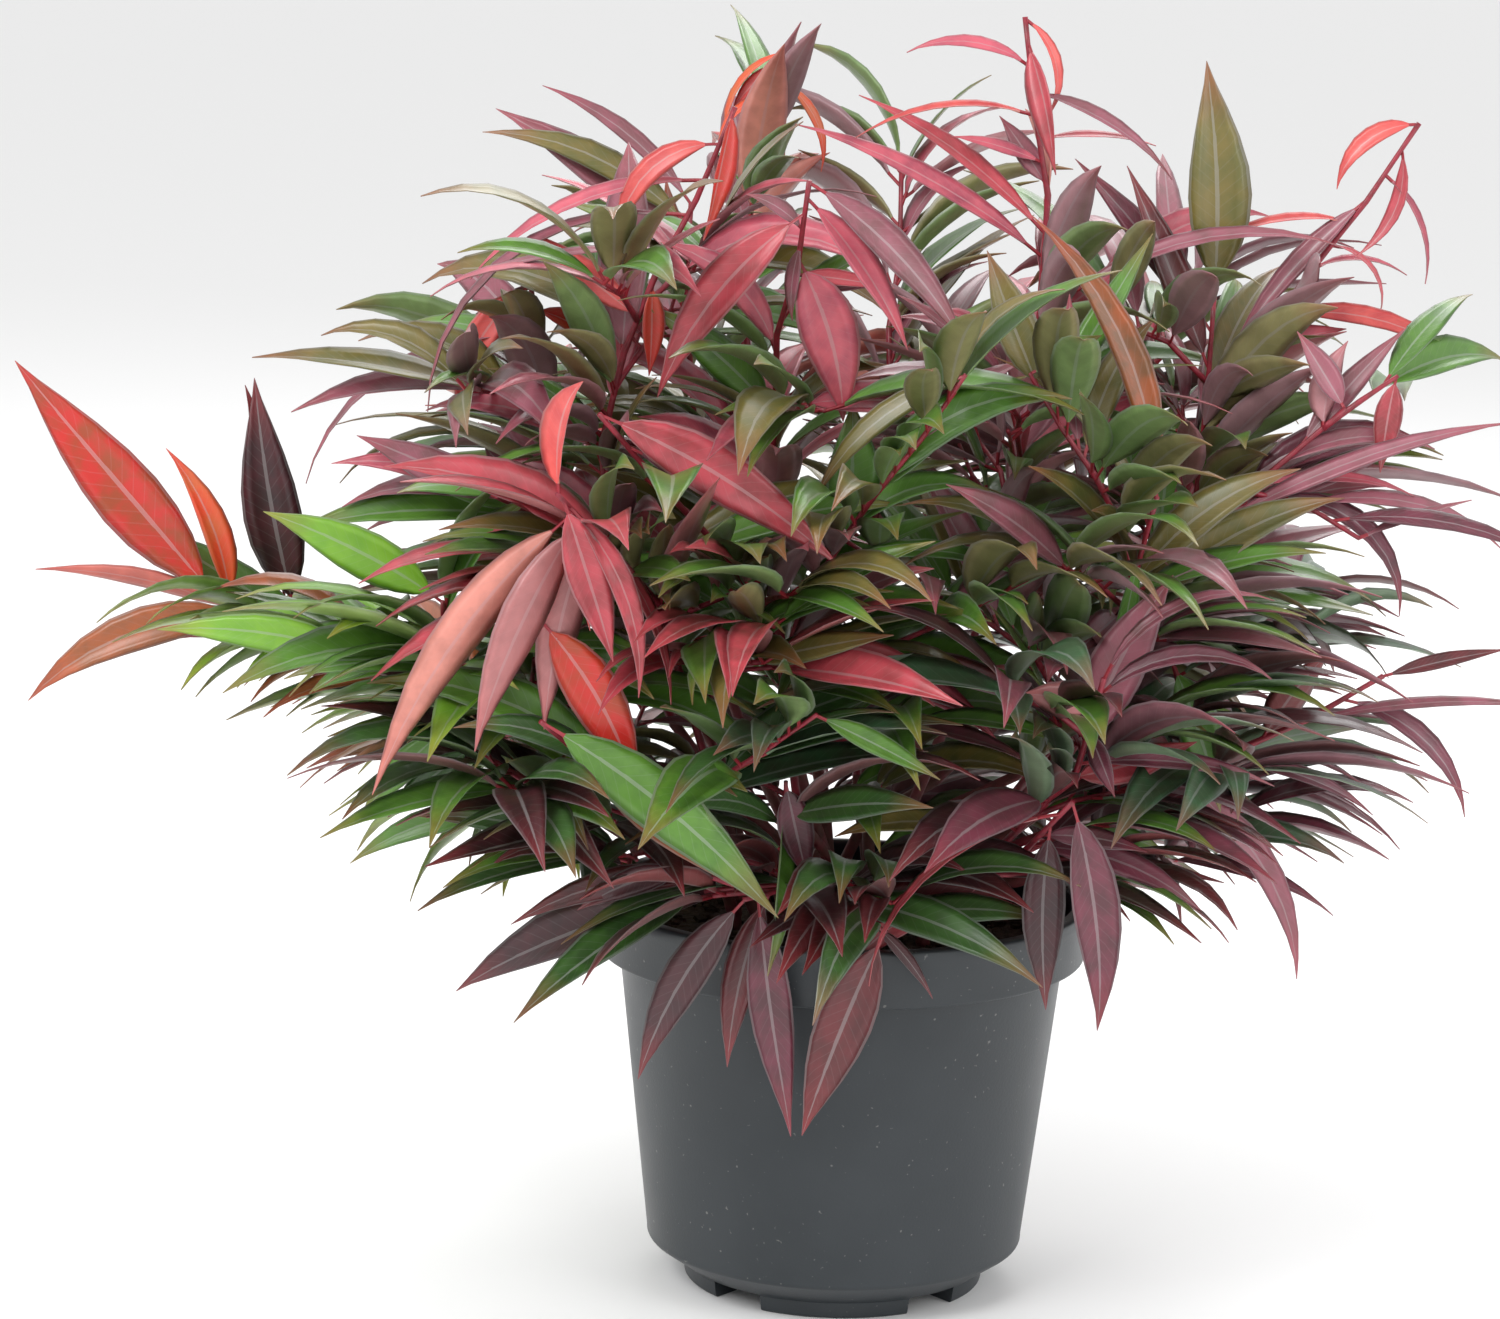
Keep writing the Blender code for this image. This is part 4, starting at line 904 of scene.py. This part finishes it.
# Midrib, margin, veins, stalk and tip of a leaf, from its own map of across and along
def leafMarks():
    group, _, out = newGroup(
        "leafMarks", (), ("Midrib", "Margin", "Veins", "Stalk", "Tip", "Tone"))
    reads = {}
    for name in ("across", "along", "tone"):
        read = group.nodes.new("ShaderNodeAttribute")
        read.attribute_name = name
        reads[name] = read.outputs["Fac"]
    place = mathNode(group, "ABSOLUTE", reads["across"])
    ribs = mathNode(group, "MULTIPLY", reads["along"], leafDrawn["veins"])
    slant = mathNode(group, "MULTIPLY_ADD", place, leafDrawn["veinSlant"], ribs)
    wave = mathNode(group, "FRACT", slant)
    marks = {
        "Midrib": mathNode(group, "LESS_THAN", place, leafDrawn["midribTo"]),
        "Margin": mathNode(group, "GREATER_THAN", place, leafDrawn["marginFrom"]),
        "Veins": mathNode(group, "LESS_THAN", wave, leafDrawn["veinWide"]),
        "Stalk": mathNode(group, "LESS_THAN", reads["along"], leafDrawn["stalkTo"]),
        "Tip": spreadOut(group, reads["along"], leafDrawn["tipFrom"], 1.0),
        "Tone": reads["tone"]}
    for label, mark in marks.items():
        group.links.new(mark, out[label])
    return group


# Uneven grain in the piece's own coordinates, as a mask that rises from Low to High
def grainGroup():
    group, given, out = newGroup("grain", ("Scale", "Detail", "Low", "High"), ("Mask",))
    coordinates = group.nodes.new("ShaderNodeTexCoord")
    made = group.nodes.new("ShaderNodeTexNoise")
    group.links.new(coordinates.outputs["Object"], made.inputs["Vector"])
    for label in ("Scale", "Detail"):
        group.links.new(given[label], made.inputs[label])
    mask = spreadOut(group, made.outputs["Fac"], given["Low"], given["High"])
    group.links.new(mask, out["Mask"])
    return group


def grainMask(tree, scale, low, high, detail=4.0):
    values = {"Scale": scale, "Detail": detail, "Low": low, "High": high}
    return placeGroup(tree, grain, **values)["Mask"]


def addBump(tree, surface, height, strength, distance):
    bump = tree.nodes.new("ShaderNodeBump")
    bump.inputs["Strength"].default_value = strength
    bump.inputs["Distance"].default_value = distance
    tree.links.new(height, bump.inputs["Height"])
    tree.links.new(bump.outputs["Normal"], surface.inputs["Normal"])


def mixColour(tree, factor, first, second, scale=1.0):
    made = tree.nodes.new("ShaderNodeMix")
    made.data_type = "RGBA"
    if scale != 1.0:
        factor = mathNode(tree, "MULTIPLY", factor, scale)
    tree.links.new(factor, made.inputs["Factor"])
    for socket, value in ((made.inputs["A"], first), (made.inputs["B"], second)):
        if isinstance(value, tuple):
            socket.default_value = (*value, 1)
        else:
            tree.links.new(value, socket)
    return made.outputs["Result"]


def plainMaterial(name, rough):
    made = bpy.data.materials.new(name)
    made.use_nodes = True
    surface = made.node_tree.nodes["Principled BSDF"]
    surface.inputs["Roughness"].default_value = rough
    return made, made.node_tree, surface


# Colours that every tint shares, how strongly each mark shows, and the mottling's scale, low and
# high
leafColour = {
    "stalk": (0.30, 0.022, 0.035), "tip": (0.34, 0.03, 0.035),
    "shares": {"Tone": 0.35, "Veins": 0.10, "Tip": 0.45, "Midrib": 0.55, "Margin": 0.55},
    "mottle": (95.0, 0.38, 0.64), "rough": 0.36, "coat": 0.14, "underCoat": 0.03,
    "coatRough": 0.25, "bump": (0.25, 0.0006)}


def leafMaterial(name, main, second, under, marks):
    material, tree, surface = plainMaterial(name, leafColour["rough"])
    bright = tuple(min(1.0, c * 1.5 + 0.02) for c in main)
    pale = tuple(c * 0.5 + 0.22 for c in main)
    if under:
        main, second, bright = under, tuple(c * 0.72 for c in under), under
    mark = placeGroup(tree, marks)
    colour = mixColour(tree, grainMask(tree, *leafColour["mottle"]), main, second)
    for label, other in (
            ("Tone", bright), ("Veins", pale), ("Tip", leafColour["tip"]), ("Midrib", pale),
            ("Margin", pale), ("Stalk", leafColour["stalk"])):
        share = leafColour["shares"].get(label, 1.0)
        colour = mixColour(tree, mark[label], colour, other, share)
    tree.links.new(colour, surface.inputs["Base Color"])
    surface.inputs["Coat Weight"].default_value = leafColour["underCoat" if under else "coat"]
    surface.inputs["Coat Roughness"].default_value = leafColour["coatRough"]
    addBump(tree, surface, mark["Veins"], *leafColour["bump"])
    return material


# Two colours, roughness, and the grain's scale and depth in metres
roughLooks = {
    "bark": ((0.13, 0.045, 0.035), (0.20, 0.030, 0.040), 0.6, 180.0, 0.0006),
    "youngStem": ((0.30, 0.020, 0.040), (0.17, 0.022, 0.030), 0.38, 240.0, 0.0003),
    "compostBark": ((0.030, 0.017, 0.010), (0.075, 0.045, 0.028), 0.95, 260.0, 0.002),
    "crownBark": ((0.12, 0.07, 0.045), (0.22, 0.15, 0.10), 0.9, 160.0, 0.0012)}


# Bark or compost, raised by its own grain
def roughMaterial(name):
    first, second, rough, scale, depth = roughLooks[name]
    material, tree, surface = plainMaterial(name, rough)
    mask = grainMask(tree, scale, 0.35, 0.68)
    tree.links.new(mixColour(tree, mask, first, second), surface.inputs["Base Color"])
    addBump(tree, surface, mask, 0.6, depth)
    return material


potColour = {
    "dark": (0.016, 0.021, 0.025), "light": (0.028, 0.034, 0.039), "dust": (0.20, 0.20, 0.19),
    "dusty": 0.6, "rough": 0.36, "hazeRough": 0.14, "haze": (14.0, 0.35, 0.70),
    "specks": (480.0, 0.73, 0.80, 1.0), "fine": (900.0, 0.3, 0.7), "bump": (0.12, 0.0002)}


# Dull black-blue plastic with haze, specks of dust and a fine grain
def potMaterial():
    material, tree, surface = plainMaterial("potPlastic", potColour["rough"])
    haze = grainMask(tree, *potColour["haze"])
    dust = grainMask(tree, *potColour["specks"])
    colour = mixColour(tree, haze, potColour["dark"], potColour["light"])
    colour = mixColour(tree, dust, colour, potColour["dust"], potColour["dusty"])
    tree.links.new(colour, surface.inputs["Base Color"])
    shine = mathNode(tree, "MULTIPLY_ADD", haze, potColour["hazeRough"], potColour["rough"])
    tree.links.new(shine, surface.inputs["Roughness"])
    addBump(tree, surface, grainMask(tree, *potColour["fine"]), *potColour["bump"])
    return material


def addPiece(name, mesh, materials, slot, *nodes):
    mesh.materials.clear()
    for each in materials:
        mesh.materials.append(each)
    made = bpy.data.objects.new(name, mesh)
    bpy.context.scene.collection.objects.link(made)
    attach(made, "root")
    if nodes:
        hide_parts(*nodes)


# Points of a rounded corner, between two angles about its centre
def arc(centreX, centreZ, radius, first, last, steps):
    turns = [math.radians(first + (last - first) * i / steps) for i in range(steps + 1)]
    return [(centreX + radius * math.cos(a), centreZ + radius * math.sin(a)) for a in turns]


# Half the pot's section as radius and height, from the middle of its floor round the rim to the
# middle underneath. A longer row is a rounded corner about that point: its radius, first and
# last angle, and steps.
pot = {
    "section": (
        (0, 9.0), (56.62, 9.0), (71.2, 17.0), (84.4, 132.0),  # floor and inside wall
        (92.0, 133.6), (92.6, 134.4), (89.4, 148.0), (89.2, 151.6),  # inside the collar
        (90.6, 151.6, 1.4, 170, 90, 4), (93.4, 151.4, 1.6, 88, 0, 5), (95.0, 148.4),  # rim
        (94.5, 147.6), (94.2, 132.2), (93.0, 132.1, 1.2, -8, -85, 4),  # collar
        (87.0, 131.0), (86.3, 130.5), (85.9, 129.0), (73.4, 20.0),  # wall
        (70.4, 18.0, 2.9, 8, -42, 4), (60.1, 7.3), (59.1, 6.4),  # foot of the wall
        (58.3, 1.4), (56.9, 1.4, 1.4, 0, -90, 4), (46.0, 0), (46.0, 6.8),  # ring of feet
        (14.0, 6.8), (14.0, 0), (0, 0)),  # pad
    "around": 96, "baseR": 59.5, "floorUnder": 6.8, "footInnerR": 46.0, "insideR": 92.6,
    "notchTurn": 40, "notchWide": 22, "sharpTurn": 38}


# One of the four gaps between the feet, as a box that is cut away
def notch(turn):
    block = bmesh.new()
    bmesh.ops.create_cube(block, size=1)
    wide = 2 * pot["baseR"] * math.sin(math.radians(pot["notchWide"] / 2))
    size = Vector((wide, pot["baseR"], pot["floorUnder"] + 2)) * mm
    bmesh.ops.scale(block, verts=block.verts, vec=size)
    away = pot["footInnerR"] - 4 + pot["baseR"] / 2
    middle = Vector((0, -away, (pot["floorUnder"] - 2) / 2 + 0.1)) * mm
    bmesh.ops.translate(block, verts=block.verts, vec=middle)
    bmesh.ops.transform(
        block, matrix=Matrix.Rotation(math.radians(turn), 4, "Z"), verts=block.verts)
    cutter = bpy.data.objects.new("notch", meshFrom("notch", block))
    workshop.objects.link(cutter)
    return cutter


def potProfile():
    points = []
    for place in pot["section"]:
        points += arc(*place) if len(place) > 2 else [place]
    return points


# The container with its rounded lip, stepped collar and four feet
def buildPot():
    shape = bmesh.new()
    line = [shape.verts.new((x * mm, 0, z * mm)) for x, z in potProfile()]
    edges = [shape.edges.new(pair) for pair in zip(line, line[1:])]
    bmesh.ops.spin(
        shape, geom=line + edges, cent=(0, 0, 0), axis=(0, 0, 1), angle=2 * math.pi,
        steps=pot["around"], use_merge=True)
    bmesh.ops.remove_doubles(shape, verts=shape.verts, dist=1e-5)
    bmesh.ops.recalc_face_normals(shape, faces=shape.faces)
    plain = bpy.data.objects.new("plainPot", meshFrom("pot", shape))
    workshop.objects.link(plain)
    turn = pot["notchTurn"]
    cutters = [notch(t) for t in (turn, -turn, 180 - turn, turn - 180)]
    for cutter in cutters:
        cut = plain.modifiers.new("gap", "BOOLEAN")
        cut.operation = "DIFFERENCE"
        cut.object = cutter
    finished = evaluatedMesh(plain)
    for item in [plain] + cutters:
        remove(item)
    finished.shade_smooth()
    finished.set_sharp_from_angle(angle=math.radians(pot["sharpTurn"]))
    addPiece("nurseryPot", finished, [potMaterial()], "pot", "pot")


# Lumps as scale and height, and bark chips as how many, their length, width and thickness
compost = {
    "lumps": ((0.06, 2.6), (0.22, 1.1)), "edgeDrop": 2.0, "deep": 6, "rings": 9, "sides": 64,
    "inFromCollar": 3.4, "chips": 420, "chipLong": (1.6, 6.5), "chipWide": (0.3, 0.7),
    "chipThick": 0.3}


def lumpAt(place):
    return sum(noise.noise(place * scale) * height for scale, height in compost["lumps"])


# The compost's uneven top over its filled body, with chips of bark on it
def buildCompost():
    radius = pot["insideR"] - compost["inFromCollar"]
    shape = bmesh.new()
    bmesh.ops.create_circle(
        shape, cap_ends=True, segments=compost["sides"], radius=radius * mm)
    for ring in range(compost["rings"]):
        lid = min(shape.faces, key=lambda f: f.calc_center_median().length)
        bmesh.ops.inset_region(shape, faces=[lid], thickness=radius * mm / 10)
    for point in shape.verts:
        flat = Vector((point.co.x, point.co.y, 0)) / mm
        drop = (flat.length / radius) ** 6 * compost["edgeDrop"]
        point.co.z = (soilTop - 0.6 + lumpAt(flat) - drop) * mm
    lowered = bmesh.ops.extrude_face_region(shape, geom=shape.faces[:])["geom"]
    for point in [g for g in lowered if isinstance(g, bmesh.types.BMVert)]:
        point.co.z = (soilTop - compost["deep"]) * mm
    draw = chance("bark")
    for chip in range(compost["chips"]):
        angle, away = draw.uniform(0, 2 * math.pi), math.sqrt(draw.random()) * (radius - 5)
        at = Vector((away * math.cos(angle), away * math.sin(angle), 0))
        at.z = soilTop - 0.2 + lumpAt(at)
        made = bmesh.ops.create_cube(shape, size=mm)["verts"]
        size = draw.uniform(*compost["chipLong"])
        wide = size * draw.uniform(*compost["chipWide"])
        stretch = Matrix.Diagonal((size, wide, size * compost["chipThick"], 1))
        turn = Matrix.Rotation(draw.uniform(0, 6.28), 4, Vector((draw.uniform(-0.5, 0.5), 0.3, 1)))
        bmesh.ops.transform(shape, matrix=Matrix.Translation(at * mm) @ turn @ stretch, verts=made)
    bmesh.ops.recalc_face_normals(shape, faces=shape.faces)
    materials = [roughMaterial("compostBark")]
    addPiece("compostSurface", meshFrom("compost", shape), materials, "compost", "compost")


def joinedMesh(name, meshes):
    shape = bmesh.new()
    for mesh in meshes:
        shape.from_mesh(mesh)
        bpy.data.meshes.remove(mesh)
    joined = meshFrom(name, shape)
    joined.shade_smooth()
    return joined


# First and last radius, and how much thicker each node is
limbs = {"bough": (2.7, 1.75, 0.08), "stem": (1.7, 0.9, 0.12), "twig": (1.25, 0.75, 0.12)}


# A rounder line through a limb's points, a little thicker at each node
def fineLimb(kind, points, draw):
    first, last, bud = limbs[kind]
    fine = []
    for start, end in zip(points, points[1:]):
        fine += [start.lerp(end, share) for share in (0.0, 0.33, 0.66)]
    fine.append(points[-1])
    radii = [
        r * (1 + (bud if i % 3 == 0 else 0) + draw.uniform(-0.05, 0.05))
        for i, r in enumerate(evenRadii(first, last, len(fine)))]
    return tube("limb", fine, radii, 8)


def buildStems():
    bark, young = roughMaterial("bark"), roughMaterial("youngStem")
    for name, bough in boughs.items():
        points = bough + [masses[name].twigs[0].points[0]]
        mesh = joinedMesh(f"{name}_limb", [fineLimb("bough", points, chance(name, "bark"))])
        addPiece(f"{name}_limb", mesh, [bark], "stem", f"{name}_bough")
    for name, mass in masses.items():
        draw = chance(name, "young")
        mesh = joinedMesh(f"{name}_twigs", [
            fineLimb("twig" if i else "stem", twig.points, draw)
            for i, twig in enumerate(mass.twigs)])
        addPiece(f"{name}_twigs", mesh, [young], "stem", name)


crown = {"footR": 8.5, "topR": 5.5, "tall": 20.0, "lean": 4.0, "sides": 20, "lumpy": 0.12}


# The short woody stem in the middle of the clump
def buildCrown():
    shape = bmesh.new()
    bmesh.ops.create_cone(
        shape, cap_ends=True, segments=crown["sides"], radius1=crown["footR"] * mm,
        radius2=crown["topR"] * mm, depth=crown["tall"] * mm)
    bmesh.ops.subdivide_edges(shape, edges=shape.edges[:], cuts=2, use_grid_fill=True)
    for point in shape.verts:
        lean = crown["lean"] * (point.co.z / mm / crown["tall"] + 0.5)
        lump = 1 + noise.noise(point.co / mm * 0.25) * crown["lumpy"]
        point.co = Vector((point.co.x * lump + lean * mm, point.co.y * lump, point.co.z))
    rise = (soilTop + clear + crown["tall"] / 2) * mm
    bmesh.ops.translate(shape, verts=shape.verts, vec=(0, 0, rise))
    mesh = meshFrom("crown", shape)
    mesh.shade_smooth()
    addPiece("rootCrown", mesh, [roughMaterial("crownBark")], "wood", "root_crown")


def buildLeaves(marks):
    template = sleeve(len(stationShares), len(cornerAcross))
    for tint, (main, second, under) in tints.items():
        lists = ([], [], [], [], [], [])
        for name, mass in masses.items():
            for number, (blade, own) in enumerate(mass.blades):
                if own == tint:
                    addBlade(lists, blade, template, chance(name, number, "shape"))
        corners, polygons, along, sides, tones, lower = lists
        if not corners:
            continue
        mesh = bpy.data.meshes.new(f"{tint}Leaves")
        mesh.from_pydata(corners, [], polygons)
        for label, values in (("along", along), ("across", sides), ("tone", tones)):
            mesh.attributes.new(label, "FLOAT", "POINT").data.foreach_set("value", values)
        materials = [
            leafMaterial(f"{tint}Upper", main, second, None, marks),
            leafMaterial(f"{tint}Under", main, second, under, marks)]
        addPiece(f"{tint}Leaves", mesh, materials, slots.get(tint, tint))
        mesh.polygons.foreach_set("material_index", [int(flag) for flag in lower])
        mesh.shade_smooth()
        mesh.update()
        print(tint, len(mesh.polygons))


# Soft lights as place in metres, size and power, and the pale floor and world
stage = {
    "key": ((-1.3, -1.5, 2.0), 1.2, 42), "fill": ((1.7, -1.2, 1.2), 1.4, 16),
    "back": ((0.4, 1.6, 1.9), 1.2, 22)}
floorGrey, worldStrength, aimHeight = 0.86, 0.95, 0.28


def buildStage():
    shape = bmesh.new()
    bmesh.ops.create_grid(shape, x_segments=1, y_segments=1, size=40)
    material, tree, surface = plainMaterial("paleFloor", 0.9)
    surface.inputs["Base Color"].default_value = (floorGrey, floorGrey, floorGrey, 1)
    floor = bpy.data.objects.new("floor", meshFrom("floor", shape))
    floor.data.materials.append(material)
    bpy.context.scene.collection.objects.link(floor)
    world = bpy.data.worlds.new("studio")
    world.use_nodes = True
    background = world.node_tree.nodes["Background"]
    background.inputs["Color"].default_value = (1, 1, 1, 1)
    background.inputs["Strength"].default_value = worldStrength
    bpy.context.scene.world = world
    bpy.context.scene.view_settings.view_transform = "Standard"
    for name, (place, size, power) in stage.items():
        light = bpy.data.lights.new(name, "AREA")
        light.size, light.energy = size, power
        lamp = bpy.data.objects.new(name, light)
        lamp.location = place
        aim = Vector((0, 0, aimHeight)) - Vector(place)
        lamp.rotation_euler = aim.to_track_quat("-Z", "Y").to_euler()
        bpy.context.scene.collection.objects.link(lamp)


photoView = {"place": (-38, -1640, 547), "pitch": 10.48, "roll": 1.35, "focal": 4348, "wide": 1500}


# The photo's viewpoint, its focal length and width in the photo's pixels
def buildCamera():
    data = bpy.data.cameras.new("camera")
    data.sensor_width = 36
    data.lens = photoView["focal"] * data.sensor_width / photoView["wide"]
    camera = bpy.data.objects.new("camera", data)
    camera.location = Vector(photoView["place"]) * mm
    tilt = Matrix.Rotation(math.radians(90 - photoView["pitch"]), 4, "X")
    roll = Matrix.Rotation(math.radians(photoView["roll"]), 4, "Z")
    camera.rotation_euler = (tilt @ roll).to_euler()
    bpy.context.scene.collection.objects.link(camera)
    bpy.context.scene.camera = camera


def startRoom():
    room = Occupied()
    for name in ("pot", "compost", "root_crown"):
        room.add(name, *pointsAndFaces(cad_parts[name].data))
    return room


workshop = bpy.data.collections.new("workshop")
bpy.context.scene.collection.children.link(workshop)
boughs, masses = growMasses(startRoom())
remove(bpy.data.objects["twigProfile"])
print("growth done")
grain = grainGroup()
buildStems()
print("stems done")
buildLeaves(leafMarks())
print("leaves done")
buildPot()
buildCompost()
buildCrown()
print("pot done")
buildStage()
buildCamera()
bpy.data.collections.remove(workshop)
print("done")
